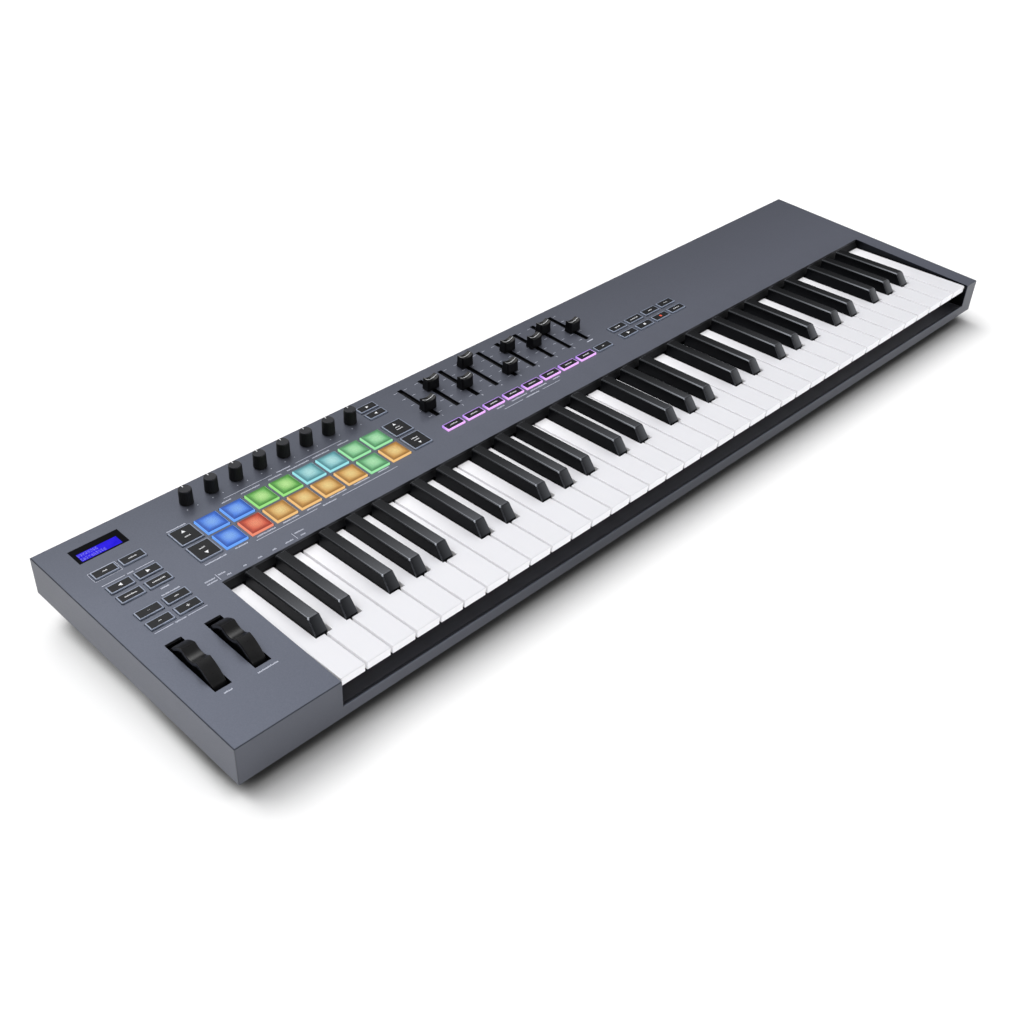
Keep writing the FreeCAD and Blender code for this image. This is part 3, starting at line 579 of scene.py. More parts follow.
def make(name, shape, materials, place, body, material_of=None, smooth=35.0):
    """Adds an object from (verts, faces) in mm; smooth is the sharp-edge angle, 0 for flat."""
    verts, faces = shape
    mesh = bpy.data.meshes.new(name)
    mesh.from_pydata([(x * MM, y * MM, z * MM) for x, y, z in verts], [], faces)
    bm = bmesh.new()
    bm.from_mesh(mesh)
    bmesh.ops.remove_doubles(bm, verts=bm.verts, dist=1e-7)
    bmesh.ops.recalc_face_normals(bm, faces=bm.faces)
    bm.to_mesh(mesh)
    bm.free()
    for material in materials:
        mesh.materials.append(material)
    if material_of is not None:
        for face in mesh.polygons:
            face.material_index = material_of(face.center / MM)
    if smooth:
        mesh.shade_smooth()
        mesh.set_sharp_from_angle(angle=math.radians(smooth))
    obj = bpy.data.objects.new(name, mesh)
    bpy.context.scene.collection.objects.link(obj)
    if smooth:
        add_weighted_normal(obj, weight=80, keep_sharp=True)
    obj.matrix_world = place
    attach(obj, body)
    return obj


def loft(loops, close_end=True):
    """Joins loops of equal length into one skin, capped at the start and, if asked, the end."""
    n = len(loops[0])
    verts = [point for loop in loops for point in loop]
    faces = []
    for i in range(len(loops) - 1):
        for j in range(n):
            a, b = i * n + j, i * n + (j + 1) % n
            faces.append((a, b, b + n, a + n))
    faces.append(tuple(range(n))[::-1])
    if close_end:
        faces.append(tuple(range((len(loops) - 1) * n, len(loops) * n)))
    return verts, faces


def join(parts):
    verts, faces = [], []
    for part_verts, part_faces in parts:
        first = len(verts)
        verts += list(part_verts)
        faces += [tuple(i + first for i in face) for face in part_faces]
    return verts, faces


def rounded_rectangle(width, depth, radius, z, steps):
    radius = max(min(radius, width / 2 - 1e-3, depth / 2 - 1e-3), 1e-3)
    points = []
    for corner, (side_x, side_y) in enumerate(((1, 1), (-1, 1), (-1, -1), (1, -1))):
        x, y = side_x * (width / 2 - radius), side_y * (depth / 2 - radius)
        for i in range(steps + 1):
            angle = math.pi / 2 * (corner + i / steps)
            points.append((x + radius * math.cos(angle), y + radius * math.sin(angle), z))
    return points


def slab(width, depth, radius, profile, steps=4):
    """Rounded block; profile holds (inset, z) stations."""
    return loft([rounded_rectangle(width - 2 * inset, depth - 2 * inset,
                                   max(radius - inset, 0.05), z, steps)
                 for inset, z in profile])


def prism(points, levels):
    """An outline of (x, y) points raised between the two z levels."""
    return loft([[(x, y, z) for x, y in points] for z in levels])


# bottom and top of the thin print on a button, and on the panel
BUTTON_INK = (BUTTON_H - 0.02, BUTTON_H + 0.035)
PANEL_INK = (CASE_T - 0.01, CASE_T + 0.035)


def plate(x0, x1, y0, y1, levels=BUTTON_INK):
    return prism([(x0, y0), (x1, y0), (x1, y1), (x0, y1)], levels)


def stroke(xa, ya, xb, yb, width):
    """A printed line on the panel from a to b."""
    dx, dy = xb - xa, yb - ya
    length = math.hypot(dx, dy)
    nx, ny = -dy / length * width / 2, dx / length * width / 2
    return prism([(xa - nx, ya - ny), (xb - nx, yb - ny), (xb + nx, yb + ny), (xa + nx, ya + ny)],
                 PANEL_INK)


def disc(radius, x=0.0, y=0.0, levels=BUTTON_INK):
    angles = [2 * math.pi * i / 28 for i in range(28)]
    return prism([(x + radius * math.cos(a), y + radius * math.sin(a)) for a in angles], levels)


ARROWS = {
    "up": ((-1, -0.8), (1, -0.8), (0, 1)),
    "down": ((1, 0.8), (-1, 0.8), (0, -1)),
    "left": ((0.8, -1), (0.8, 1), (-1, 0)),
    "right": ((-0.8, 1), (-0.8, -1), (1, 0)),
}


def arrow(direction, size, y=0.0):
    return prism([(px * size, py * size + y) for px, py in ARROWS[direction]], BUTTON_INK)


def words(cx, cy, total, seed, height=1.3, width=0.40, levels=BUTTON_INK):
    """A row of short strokes standing where small print would be."""
    rng = random.Random(seed)
    foot = cy - height / 2
    out, x = [], cx - total / 2
    while x < cx + total / 2 - 0.3:
        tall = height * (0.62 + 0.38 * rng.random())
        out.append(plate(x, x + width, foot, foot + tall, levels))
        if rng.random() > 0.35:
            y = foot + (0.0 if rng.random() > 0.5 else tall - 0.22)
            out.append(plate(x + width, x + width + 0.34, y, y + 0.22, levels))
        x += 0.78
    return out


replaced = set()


def stand_in(node):
    """The first piece made for a CAD node takes its place."""
    if node not in replaced:
        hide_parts(node)
        replaced.add(node)


# ---------------------------------------------------------------- keys
def slot_centre(pitch_class):
    """Centre of a semitone's slot: five share the first three whites, seven the other four."""
    if pitch_class < 5:
        return 3 * PITCH * (pitch_class + 0.5) / 5
    return 3 * PITCH + 4 * PITCH * (pitch_class - 5 + 0.5) / 7


def arm(cx, front_y):
    """The tail under the panel: a beam to the pivot and its collar."""
    left, right = cx - ARM_W / 2, cx + ARM_W / 2
    side = [(front_y, 31.0), (PIVOT_Y - 4.0, 31.0)]
    for i in range(13):
        angle = math.radians(-135 + 15 * i * 1.125)
        side.append((PIVOT_Y + 4.2 * math.cos(angle), PIVOT_Z + 4.2 * math.sin(angle)))
    side += [(PIVOT_Y - 8.0, 38.2), (PIVOT_Y - 8.0, 39.9), (front_y, 39.9)]
    return loft([[(x, y, z) for y, z in side] for x in (left, left + 0.3, right - 0.3, right)])


def white_key_mesh(pitch_class, last):
    x0 = WHITES.index(pitch_class) * PITCH
    left, right = x0 + SIDE_GAP, x0 + PITCH - SIDE_GAP
    # sides of the narrow part between the black keys
    neck_left, neck_right = left, right
    if pitch_class - 1 in BLACKS:
        neck_left = slot_centre(pitch_class - 1) + NOTCH_W / 2 + 1.7
    if pitch_class + 1 in BLACKS and not last:
        neck_right = slot_centre(pitch_class + 1) - NOTCH_W / 2 + 0.55

    def outline(inset, z, setback, corner):
        front = KEY_Y0 + setback + inset
        notch = NOTCH_Y - inset
        rear = KEY_REAR - inset
        x_left, x_right = left + inset, right - inset
        in_left, in_right = neck_left + inset, neck_right - inset
        steps = 3
        corner = max(corner - inset * 0.5, 0.05)
        points = []
        for cx, start in ((x_left + corner, math.pi), (x_right - corner, 1.5 * math.pi)):
            for i in range(steps + 1):
                a = start + math.pi / 2 * i / steps
                points.append((cx + corner * math.cos(a), front + corner + corner * math.sin(a), z))
        cut = 0.5
        nip = cut * 0.3
        if neck_right < right:
            points += [(x_right, notch - cut, z), (x_right - nip, notch - nip, z),
                       (x_right - cut, notch, z),
                       (in_right + nip, notch, z), (in_right, notch + nip, z)]
        points += [(in_right, rear, z), (in_left, rear, z)]
        if neck_left > left:
            points += [(in_left, notch + nip, z), (in_left - nip, notch, z),
                       (x_left + cut, notch, z), (x_left + nip, notch - nip, z),
                       (x_left, notch - cut, z)]
        return points

    top, bottom = KEY_TOP, KEY_TOP - SKIRT
    stations = (                              # inset, z, setback of the front, corner radius
        (1.4, top - 2.4, 0.7, 0.3), (1.4, bottom + 0.15, 0.7, 0.3), (1.25, bottom, 0.7, 0.3),
        (0.15, bottom, 0.7, 0.4), (0.02, bottom + 0.15, 0.62, 0.5), (0.02, top - 2.75, 0.5, 0.5),
        (0.0, top - 2.6, 0.15, 0.55), (0.0, top - 2.35, 0.02, 0.6), (0.0, top - 1.05, 0.0, 0.6),
        (0.06, top - 0.6, 0.1, 0.6), (0.17, top - 0.28, 0.3, 0.6), (0.34, top - 0.07, 0.55, 0.6),
        (0.55, top, 0.85, 0.6))
    arm_x = max(slot_centre(pitch_class), neck_left + ARM_W / 2 + 0.2)
    arm_x = min(arm_x, neck_right - ARM_W / 2 - 0.2)
    return join([loft([outline(*station) for station in stations]), arm(arm_x, KEY_REAR - 1.0)])


def black_key_mesh(pitch_class):
    bottom, top = KEY_TOP - SKIRT, KEY_TOP + BLACK_H
    half_base, half_top = BLACK_BASE_W / 2, BLACK_TOP_W / 2
    half_shoulder = half_top + 0.9
    cx = slot_centre(pitch_class)

    def level(z):
        """Half width and front y at a height."""
        knee = KEY_TOP + 0.5
        if z <= knee:
            return half_base, BLACK_Y0
        narrowing = min(1.0, (z - knee) / (top - 1.0 - knee))
        leaning = min(1.0, (z - knee) / (top - 1.6 - knee))
        return (half_base + (half_shoulder - half_base) * narrowing,
                BLACK_Y0 + (BLACK_Y1 - 1.2 - BLACK_Y0) * leaning)

    def ring(half, y0, rear, z, cut):
        """Loop with the front vertical corners cut and softened."""
        soft = cut * 0.35
        corner = [(half, y0 + cut * 1.5 + soft), (half - soft * 0.25, y0 + cut * 1.5 - soft * 0.4),
                  (half - cut + soft * 0.4, y0 + soft * 0.3), (half - cut - soft, y0)]
        points = [(cx - x, y, z) for x, y in corner]
        points += [(cx + x, y, z) for x, y in corner[::-1]]
        return points + [(cx + half, rear, z), (cx - half, rear, z)]

    wall = 1.6
    half, y0 = level(top - 4.0)
    loops = [
        ring(half - wall, y0 + 2.4, BLACK_REAR - wall, top - 3.0, 0.4),
        ring(half_base - wall, BLACK_Y0 + 2.0, BLACK_REAR - wall, KEY_TOP + 0.5, 0.4),
        ring(half_base - wall, BLACK_Y0 + 2.0, BLACK_REAR - wall, bottom, 0.4),
        ring(half_base - 0.1, BLACK_Y0 + 0.1, BLACK_REAR, bottom, 0.5)]
    for z in (bottom + 0.2, KEY_TOP - 1.5, KEY_TOP + 0.3, KEY_TOP + 0.7, KEY_TOP + 3.5,
              KEY_TOP + 6.5, KEY_TOP + 9.0, top - 1.75):
        half, y0 = level(z)
        loops.append(ring(half, y0, BLACK_REAR, z, 0.75))
    # crown: the bevel along the sides and the rounded front shoulder
    for drop, half, front in (
            (1.30, half_shoulder + 0.05, -0.95), (1.02, half_shoulder - 0.03, -0.65),
            (0.82, half_shoulder - 0.20, -0.38), (0.30, half_top + 0.14, 0.35),
            (0.10, half_top - 0.08, 0.8), (0.0, half_top - 0.40, 1.4)):
        loops.append(ring(half, BLACK_Y1 + front, BLACK_REAR, top - drop, 0.75))
    return join([loft(loops), arm(cx, BLACK_REAR - 1.0)])


for pitch_class, note in enumerate(NOTES):
    node = "key_" + note
    for octave in range(6 if pitch_class == 0 else 5):       # a last C ends the row
        place = at(LEVEL, KEY_X0 + octave * OCTAVE, 0.0)
        name = "%s_%d_cap" % (node, octave + 1)
        if pitch_class in WHITES:
            shape = white_key_mesh(pitch_class, last=octave == 5)
            key = make(name, shape, [WHITE_KEY], place, node, smooth=28.0)
        else:
            shape = black_key_mesh(pitch_class)
            key = make(name, shape, [BLACK_KEY], place, node, smooth=26.0)
        stand_in(node)

# ---------------------------------------------------------------- buttons
CAP_INSET = 1.05
SKIRT_PROFILE = (                             # inset, z
    (1.5, -6.4), (1.5, -4.15), (-0.7, -4.15), (-0.7, -2.8), (0.0, -2.8),
    (0.0, BUTTON_H - 0.62), (0.07, BUTTON_H - 0.42), (0.22, BUTTON_H - 0.28),
    (0.45, BUTTON_H - 0.22), (CAP_INSET + 0.3, BUTTON_H - 0.22))
CAP_PROFILE = (
    (CAP_INSET + 0.02, BUTTON_H - 0.5), (CAP_INSET - 0.02, BUTTON_H - 0.16),
    (CAP_INSET + 0.04, BUTTON_H - 0.05), (CAP_INSET + 0.16, BUTTON_H))


def button(name, x, y, size, group, marks, skirt=BUTTON_SKIRT, ink=WHITE_PRINT):
    """A translucent skirt, a dark cap let into it and the printed marks."""
    place = at(PANEL, x, y, CASE_T)
    base = make(name + "_skirt", slab(*size, 0.9, SKIRT_PROFILE), [skirt], place, group)
    make(name + "_cap", slab(*size, 0.9, CAP_PROFILE), [BUTTON_TOP], place, group)
    stand_in(group)
    make(name + "_mark", join(marks), [ink], place, group, smooth=0)


mode_marks = (
    words(0, 0, 3.6, seed=3),
    words(0, 0, 6.6, seed=4),
    [arrow("left", 1.7)],
    [arrow("right", 1.7)],
    words(0, 0, 10.2, seed=5),
    words(0, 0, 10.6, seed=6),
    [plate(-0.9, -0.2, -0.15, 0.15), plate(0.2, 0.9, -0.15, 0.15)],
    words(0, 0, 4.0, seed=7),
    [plate(-1.2, 1.2, -0.24, 0.24)],
    [plate(-1.3, 1.3, -0.24, 0.24), plate(-0.24, 0.24, -1.3, 1.3)])
mode_places = [(x, y) for y in MODE_ROWS for x in MODE_COLS]
for i, (x, y) in enumerate(mode_places):
    button("mode_button_%02d" % (i + 1), x, y, MODE_SIZE, "mode_buttons", mode_marks[i])

# square pairs: the rear one points up, the front one down
ROW_ARROWS = (("up", 1), ("down", -1))
for i, (direction, side) in enumerate(ROW_ARROWS):
    marks = [arrow(direction, 1.75, y=4.2 * side)] + words(0, -2.4 * side, 5.4, seed=11 + i)
    button("preset_button_%d" % (i + 1), PRESET_X, SQUARE_ROWS[i], SQUARE_SIZE,
           "preset_buttons", marks)
for i, (direction, side) in enumerate(ROW_ARROWS):
    marks = [arrow(direction, 1.55, y=5.2 * side)]
    marks += words(0, 0.4 * side, 5.0, seed=21 + i) + words(0, -2.6 * side, 6.8, seed=25 + i)
    button("bank_button_%d" % (i + 1), BANK_X, SQUARE_ROWS[i], SQUARE_SIZE,
           "bank_buttons", marks)
for i, direction in enumerate(("right", "left")):
    button("page_button_%d" % (i + 1), *PAGE_PLACES[i], PAGE_SIZE, "page_buttons",
           [arrow(direction, 1.5)])
for i, x in enumerate(FADER_X):
    lit = i < 8
    button("channel_button_%d" % (i + 1), x, CHANNEL_Y, CHANNEL_SIZE, "channel_buttons",
           words(0, 0, 8.6 if lit else 3.4, seed=31 + i, width=0.42),
           skirt=LIT_SKIRT if lit else BUTTON_SKIRT)

RECORD = 6
transport_marks = (
    words(0, 0, 8.0, seed=41), words(0, 0, 10.5, seed=42),
    words(0, 0, 5.0, seed=43), words(0, 0, 4.4, seed=44),
    [arrow("right", 1.75)], [plate(-1.25, 1.25, -1.25, 1.25)], [disc(1.45)],
    words(0, 0, 8.4, seed=45))
transport_places = [(x, y) for y in TRANSPORT_ROWS for x in TRANSPORT_COLS]
for i, (x, y) in enumerate(transport_places):
    button("transport_button_%d" % (i + 1), x, y, CHANNEL_SIZE, "transport_buttons",
           transport_marks[i], ink=RED_PRINT if i == RECORD else WHITE_PRINT)

# ---------------------------------------------------------------- pads
PAD_PROFILE = (                               # inset, z
    (1.5, -6.4), (1.5, -4.1), (-0.6, -4.1), (-0.6, -2.9), (0.0, -2.9), (0.0, PAD_H - 1.15),
    (0.06, PAD_H - 0.95), (0.18, PAD_H - 0.80), (0.80, PAD_H - 0.18), (0.94, PAD_H - 0.07),
    (1.12, PAD_H - 0.05), (1.24, PAD_H - 0.07), (1.34, PAD_H - 0.13), (1.5, PAD_H - 0.10),
    (2.2, PAD_H - 0.02), (4.5, PAD_H), (9.0, PAD_H))
REAR_COLOURS = ("blue", "blue", "green", "green", "cyan", "cyan", "mint", "mint")
FRONT_COLOURS = ("blue", "red", "amber", "amber", "amber", "amber", "mint", "amber")
for row, y, colours in (("rear", PAD_REAR_Y, REAR_COLOURS), ("front", PAD_FRONT_Y, FRONT_COLOURS)):
    node = "pads_%s_row" % row
    for i, colour in enumerate(colours):
        shape = slab(PAD_SIZE, PAD_SIZE, 1.1, PAD_PROFILE, steps=5)
        pad = make("pad_%s_%d" % (row, i + 1), shape, [PADS[colour]],
                   at(PANEL, PAD_X[i], y, CASE_T), node)
        stand_in(node)

# ---------------------------------------------------------------- knobs
KNOB_PROFILE = (                              # radius, z, share of the flute depth
    (3.0, -5.2, 0), (3.0, 7.6, 0), (4.6, 7.6, 0), (4.6, 1.0, 0), (4.75, 0.8, 0), (5.65, 0.8, 0),
    (5.8, 0.95, 0.3), (5.8, 1.2, 1), (5.68, 6.0, 1), (5.56, 12.4, 1), (5.52, 13.0, 0.6),
    (5.46, 13.35, 0.2), (5.40, 13.6, 0), (5.28, 13.86, 0), (5.05, 14.08, 0), (4.82, 14.18, 0),
    (4.66, 14.10, 0), (4.5, 13.98, 0), (3.6, 13.93, 0), (2.0, 13.90, 0))
FLUTES, FLUTE_DEPTH, KNOB_STEPS = 24, 0.20, 96


def knob_mesh():
    loops = []
    for radius, z, share in KNOB_PROFILE:
        loop = []
        for i in range(KNOB_STEPS):
            angle = 2 * math.pi * i / KNOB_STEPS
            ridge = 0.5 + 0.5 * math.cos(angle * FLUTES)
            r = radius - FLUTE_DEPTH * share * (1 - ridge) ** 1.6
            loop.append((r * math.cos(angle), r * math.sin(angle), z))
        loops.append(loop)
    return loft(loops)


def pointer_mesh():
    """White line over the rear half of the knob's top and down its rim."""
    def section(y0, z0, y1, z1):
        return [(-0.34, y0, z0), (0.34, y0, z0), (0.34, y1, z1), (-0.34, y1, z1)]

    flat = [section(2.6, 13.9, 5.02, 13.9), section(2.6, 14.16, 5.02, 14.16),
            section(2.7, 14.215, 4.9, 14.215)]
    rim = [section(4.95, 13.7, 5.30, 13.5), section(4.85, 14.2, 5.36, 13.88)]
    return join([loft(flat), loft(rim)])


knob_shape, pointer_shape = knob_mesh(), pointer_mesh()
for i, x in enumerate(KNOB_X):
    node = "knob_%d" % (i + 1)
    place = at(PANEL, x, KNOB_Y, CASE_T)
    knob = make(node + "_cap", knob_shape, [KNOB, KNOB_TOP], place, node,
                material_of=lambda centre: 1 if centre.z > 13.55 else 0, smooth=32.0)
    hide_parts(node)
    make(node + "_pointer", pointer_shape, [WHITE_PRINT], place, node, smooth=0)

# ---------------------------------------------------------------- faders
CAP_STATIONS = (1.0, 0.985, 0.95, 0.88, 0.78, 0.65, 0.5, 0.34, 0.17)  # shares of the half width
CAP_FOOT = 0.8


def cap_top(x):
    """Height of the cap at x: a finger dip between two flat ends."""
    half, sag = CAP_W / 2 - 0.7, 2.2
    share = min(1.0, abs(x) / half)
    return CAP_H - sag * (1 - share * share) if abs(x) < half else CAP_H


def fader_cap_mesh():
    shares = [-u for u in CAP_STATIONS] + [0.0] + list(CAP_STATIONS[::-1])

    def ring(width, half_depth, chamfer=1.0, rise=None, z=None, drop=0.0):
        """Loop at a level z, or at a share `rise` of the way up to the dipped top."""
        loop = []
        for side, order in ((-1, shares), (1, shares[::-1])):
            for u in order:
                x = u * CAP_W / 2 * width
                from_end = (1 - abs(u)) * CAP_W / 2
                y = side * (half_depth - max(0.0, chamfer - from_end) * 0.95)
                level = CAP_FOOT + (cap_top(x) - CAP_FOOT) * rise - drop if z is None else z
                loop.append((x, y, level))
        return loop

    half = CAP_D / 2
    loops = [
        ring(0.80, half - 1.6, 0.6, z=6.0), ring(0.80, half - 1.6, 0.6, z=1.0),
        ring(0.82, half - 1.4, 0.6, z=CAP_FOOT), ring(0.985, half - 0.1, z=CAP_FOOT),
        ring(1.0, half, z=1.1), ring(0.995, half, rise=0.2),
        ring(0.975, half - 0.25, rise=0.45), ring(0.965, half - 0.4, rise=0.62),
        ring(0.975, half - 0.42, rise=0.80), ring(0.99, half - 0.45, rise=0.93),
        ring(0.992, half - 0.52, rise=1.0, drop=0.32),
        ring(0.975, half - 0.66, rise=1.0, drop=0.08),
        ring(0.955, half - 0.85, rise=1.0),
        ring(0.93, half - 1.2, rise=1.0, drop=0.05)]
    verts, faces = loft(loops, close_end=False)
    # the dipped top is closed by strips from front to rear
    n = len(shares)
    first = (len(loops) - 1) * 2 * n
    for i in range(n - 1):
        faces.append((first + i, first + i + 1, first + 2 * n - 2 - i, first + 2 * n - 1 - i))
    stem = plate(-0.6, 0.6, -2.0, 2.0, levels=(-4.4, 6.5))
    return join([(verts, faces), stem])


def fader_line_mesh():
    """White line lying along the dip."""
    loops = []
    for i in range(25):
        x = -6.55 + 13.1 * i / 24
        z = cap_top(x) + 0.02
        loops.append([(x, -0.27, z - 0.25), (x, 0.27, z - 0.25),
                      (x, 0.20, z + 0.05), (x, -0.20, z + 0.05)])
    return loft(loops)


cap_shape, line_shape = fader_cap_mesh(), fader_line_mesh()
for i, (x, y) in enumerate(zip(FADER_X, FADER_Y)):
    node = "fader_%d" % (i + 1)
    place = at(PANEL, x, y, CASE_T)
    cap = make(node + "_cap", cap_shape, [FADER], place, node, smooth=30.0)
    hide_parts(node)
    make(node + "_line", line_shape, [WHITE_PRINT], place, node, smooth=30.0)

# ---------------------------------------------------------------- wheels
WHEEL_SIDE = (                                # distance in from the side face, inward offset
    (1.3, 4.2), (1.1, 3.6), (0.25, 3.1), (0.0, 2.8),
    (0.0, 0.75), (0.12, 0.36), (0.38, 0.10), (0.8, 0.0))


def wheel_outline():
    """Side view as (y, z): the rim with a finger notch on top, closed below the axle."""
    notch_half, sag = 8.5, 4.1
    notch_r = (notch_half ** 2 + sag ** 2) / (2 * sag)
    ridge_z = math.sqrt(WHEEL_R ** 2 - notch_half ** 2)
    notch_z = ridge_z - sag + notch_r
    base_z = 3.0
    end = math.asin(base_z / WHEEL_R)
    ridge = math.atan2(ridge_z, notch_half)

    points = []
    for i in range(21):                       # front face, rising to the ridge
        a = math.pi - end + (math.pi - ridge - (math.pi - end)) * (i / 20.0) * 0.985
        points.append((WHEEL_R * math.cos(a), WHEEL_R * math.sin(a)))
    start = math.atan2(ridge_z - notch_z, -notch_half)
    stop = math.atan2(ridge_z - notch_z, notch_half)
    for i in range(1, 20):                    # finger notch
        a = start + (stop - start) * i / 20.0
        points.append((notch_r * math.cos(a), notch_z + notch_r * math.sin(a)))
    for i in range(21):                       # rear face
        a = ridge + (end - ridge) * (0.015 + 0.985 * i / 20.0)
        points.append((WHEEL_R * math.cos(a), WHEEL_R * math.sin(a)))
    return points + [(12.0, base_z), (7.0, -0.5), (4.5, -5.4), (0.0, -7.0),
                     (-4.5, -5.4), (-7.0, -0.5), (-12.0, base_z)]


def wheel_mesh():
    outline = [Vector(point) for point in wheel_outline()]

    def inward(distance):
        """The outline runs clockwise seen from +X, so inward is on its right."""
        out = []
        for i, here in enumerate(outline):
            before = (here - outline[i - 1]).normalized()
            after = (outline[(i + 1) % len(outline)] - here).normalized()
            first = Vector((before.y, -before.x))
            step = first + Vector((after.y, -after.x))
            if step.length > 1e-6:
                step = step / max(0.6, step.length_squared) * 2
            else:
                step = first
            out.append(here + step * distance)
        return out

    half = WHEEL_W / 2
    stations = [(-half + x, offset) for x, offset in WHEEL_SIDE]
    stations += [(half - x, offset) for x, offset in WHEEL_SIDE[::-1]]
    return loft([[(x, p.x, p.y) for p in inward(offset)] for x, offset in stations])


def shaft(x0, x1):
    circle = [2 * math.pi * i / 32 for i in range(32)]
    return loft([[(x, 2.5 * math.cos(a), 2.5 * math.sin(a)) for a in circle] for x in (x0, x1)])


wheel_shape = wheel_mesh()
# x, node, reach of the shaft to the right
for x, node, reach in ((PITCH_WHEEL_X, "pitch_wheel", 9.0), (MOD_WHEEL_X, "mod_wheel", 3.9)):
    shape = join([wheel_shape, shaft(-WHEEL_W / 2 - 3.9, -WHEEL_W / 2 + 1.5),
                  shaft(WHEEL_W / 2 - 1.5, WHEEL_W / 2 + reach)])
    grip = make(node + "_grip", shape, [WHEEL], at(PANEL, x, WHEEL_Y, WHEEL_AXIS_Z), node,
                smooth=30.0)
    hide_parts(node)

# ---------------------------------------------------------------- print on the panel
WIDE_RULES = (                                # x0, x1, y
    (22.0, 41.6, 193.5), (50.7, 66.4, 193.5), (22.6, 38.3, 125.7), (50.9, 67.3, 125.7))
SMALL_PRINT = (                               # x0, x1, y
    (79.5, 89.0, 146.6), (79.5, 89.0, 143.4), (92.2, 98.6, 147.4), (97.0, 100.6, 143.2),
    (111.8, 115.2, 143.2), (125.4, 129.2, 143.2), (138.9, 142.8, 143.4), (151.2, 158.7, 143.4),
    (163.8, 172.5, 148.0), (166.0, 170.9, 143.2), (201.3, 215.5, 220.3), (201.8, 215.6, 160.6),
    (144.1, 153.0, 216.6), (162.7, 181.1, 216.4), (189.9, 202.7, 216.4), (208.9, 231.7, 216.4),
    (235.3, 253.0, 216.4), (262.6, 274.2, 216.8), (119.4, 131.1, 163.7), (139.8, 158.0, 164.0),
    (165.0, 180.4, 164.1), (189.0, 202.8, 164.4), (212.5, 229.3, 165.0), (237.5, 253.6, 165.0),
    (263.5, 274.8, 165.0), (91.7, 108.9, 214.7), (91.4, 111.0, 163.1), (402.5, 411.6, 166.0),
    (421.5, 440.9, 166.0), (445.3, 466.6, 166.0), (474.9, 484.2, 166.2), (435.6, 451.5, 161.5),
    (52.4, 59.7, 163.0), (48.6, 63.8, 156.1), (24.8, 32.0, 45.6), (52.8, 69.8, 45.6))
RULES = (                                     # x0, x1, y
    (148.9, 196.4, 220.3), (220.5, 269.7, 220.3), (136.9, 196.2, 160.6), (221.8, 280.7, 160.6),
    (407.8, 430.7, 161.2), (456.4, 479.2, 161.2))


def panel_print():
    ink = [stroke(x0, y, x1, y, 0.42) for x0, x1, y in WIDE_RULES]
    for x, y, total, seed in ((46.2, 193.4, 5.6, 51), (44.7, 125.7, 9.2, 52)):
        ink += words(x, y, total, seed, height=1.35, width=0.36, levels=PANEL_INK)
    for i, (x0, x1, y) in enumerate(SMALL_PRINT):
        ink += words((x0 + x1) / 2, y, x1 - x0, seed=60 + i, height=1.45, levels=PANEL_INK)
    ink += [stroke(x0, y, x1, y, 0.36) for x0, x1, y in RULES]
    ink += [stroke(x, 141.6, x, 149.6, 0.36) for x in (90.6, 161.8)]
    ink.append(stroke(547.8, 189.8, 556.3, 189.8, 0.95))
    # frame round the first mode button
    x0, x1 = MODE_COLS[0] - 11.5, MODE_COLS[0] + 11.5
    y0, y1 = MODE_ROWS[0] - 5.9, MODE_ROWS[0] + 5.9
    for ends in ((x0, y0, x1, y0), (x0, y1, x1, y1), (x0, y0, x0, y1), (x1, y0, x1, y1)):
        ink.append(stroke(*ends, 0.22))
    # ticks either side of each fader's travel
    for x in FADER_X:
        for y in (243.3, 231.7, 220.0, 208.4, 196.8):
            ink.append(stroke(x - 8.2, y, x - 4.4, y, 0.32))
            ink.append(stroke(x + 3.6, y, x + 7.2, y, 0.32))
    # a pair of dots in front of each knob
    for x in KNOB_X:
        ink += [disc(0.42, x + side * 4.9, KNOB_Y - 8.4, PANEL_INK) for side in (-1, 1)]
    return join(ink)


def fader_numeral(number, x):
    curve = bpy.data.curves.new("numeral", "FONT")
    curve.body = str(number)
    curve.size = 3.0 * MM
    curve.extrude = 0.02 * MM
    curve.align_x = "CENTER"
    curve.align_y = "CENTER"
    text = bpy.data.objects.new("numeral_tmp", curve)
    bpy.context.scene.collection.objects.link(text)
    depsgraph = bpy.context.evaluated_depsgraph_get()
    mesh = bpy.data.meshes.new_from_object(text.evaluated_get(depsgraph))
    bpy.data.objects.remove(text)
    mesh.materials.clear()
    mesh.materials.append(PANEL_PRINT)
    numeral = bpy.data.objects.new("fader_numeral_%d" % number, mesh)
    bpy.context.scene.collection.objects.link(numeral)
    numeral.matrix_world = at(PANEL, x + 2.6, 190.6, CASE_T + 0.01)
    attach(numeral, "case")


make("panel_print", panel_print(), [PANEL_PRINT], PANEL, "case", smooth=0)
for i, x in enumerate(FADER_X[:8]):
    fader_numeral(i + 1, x)

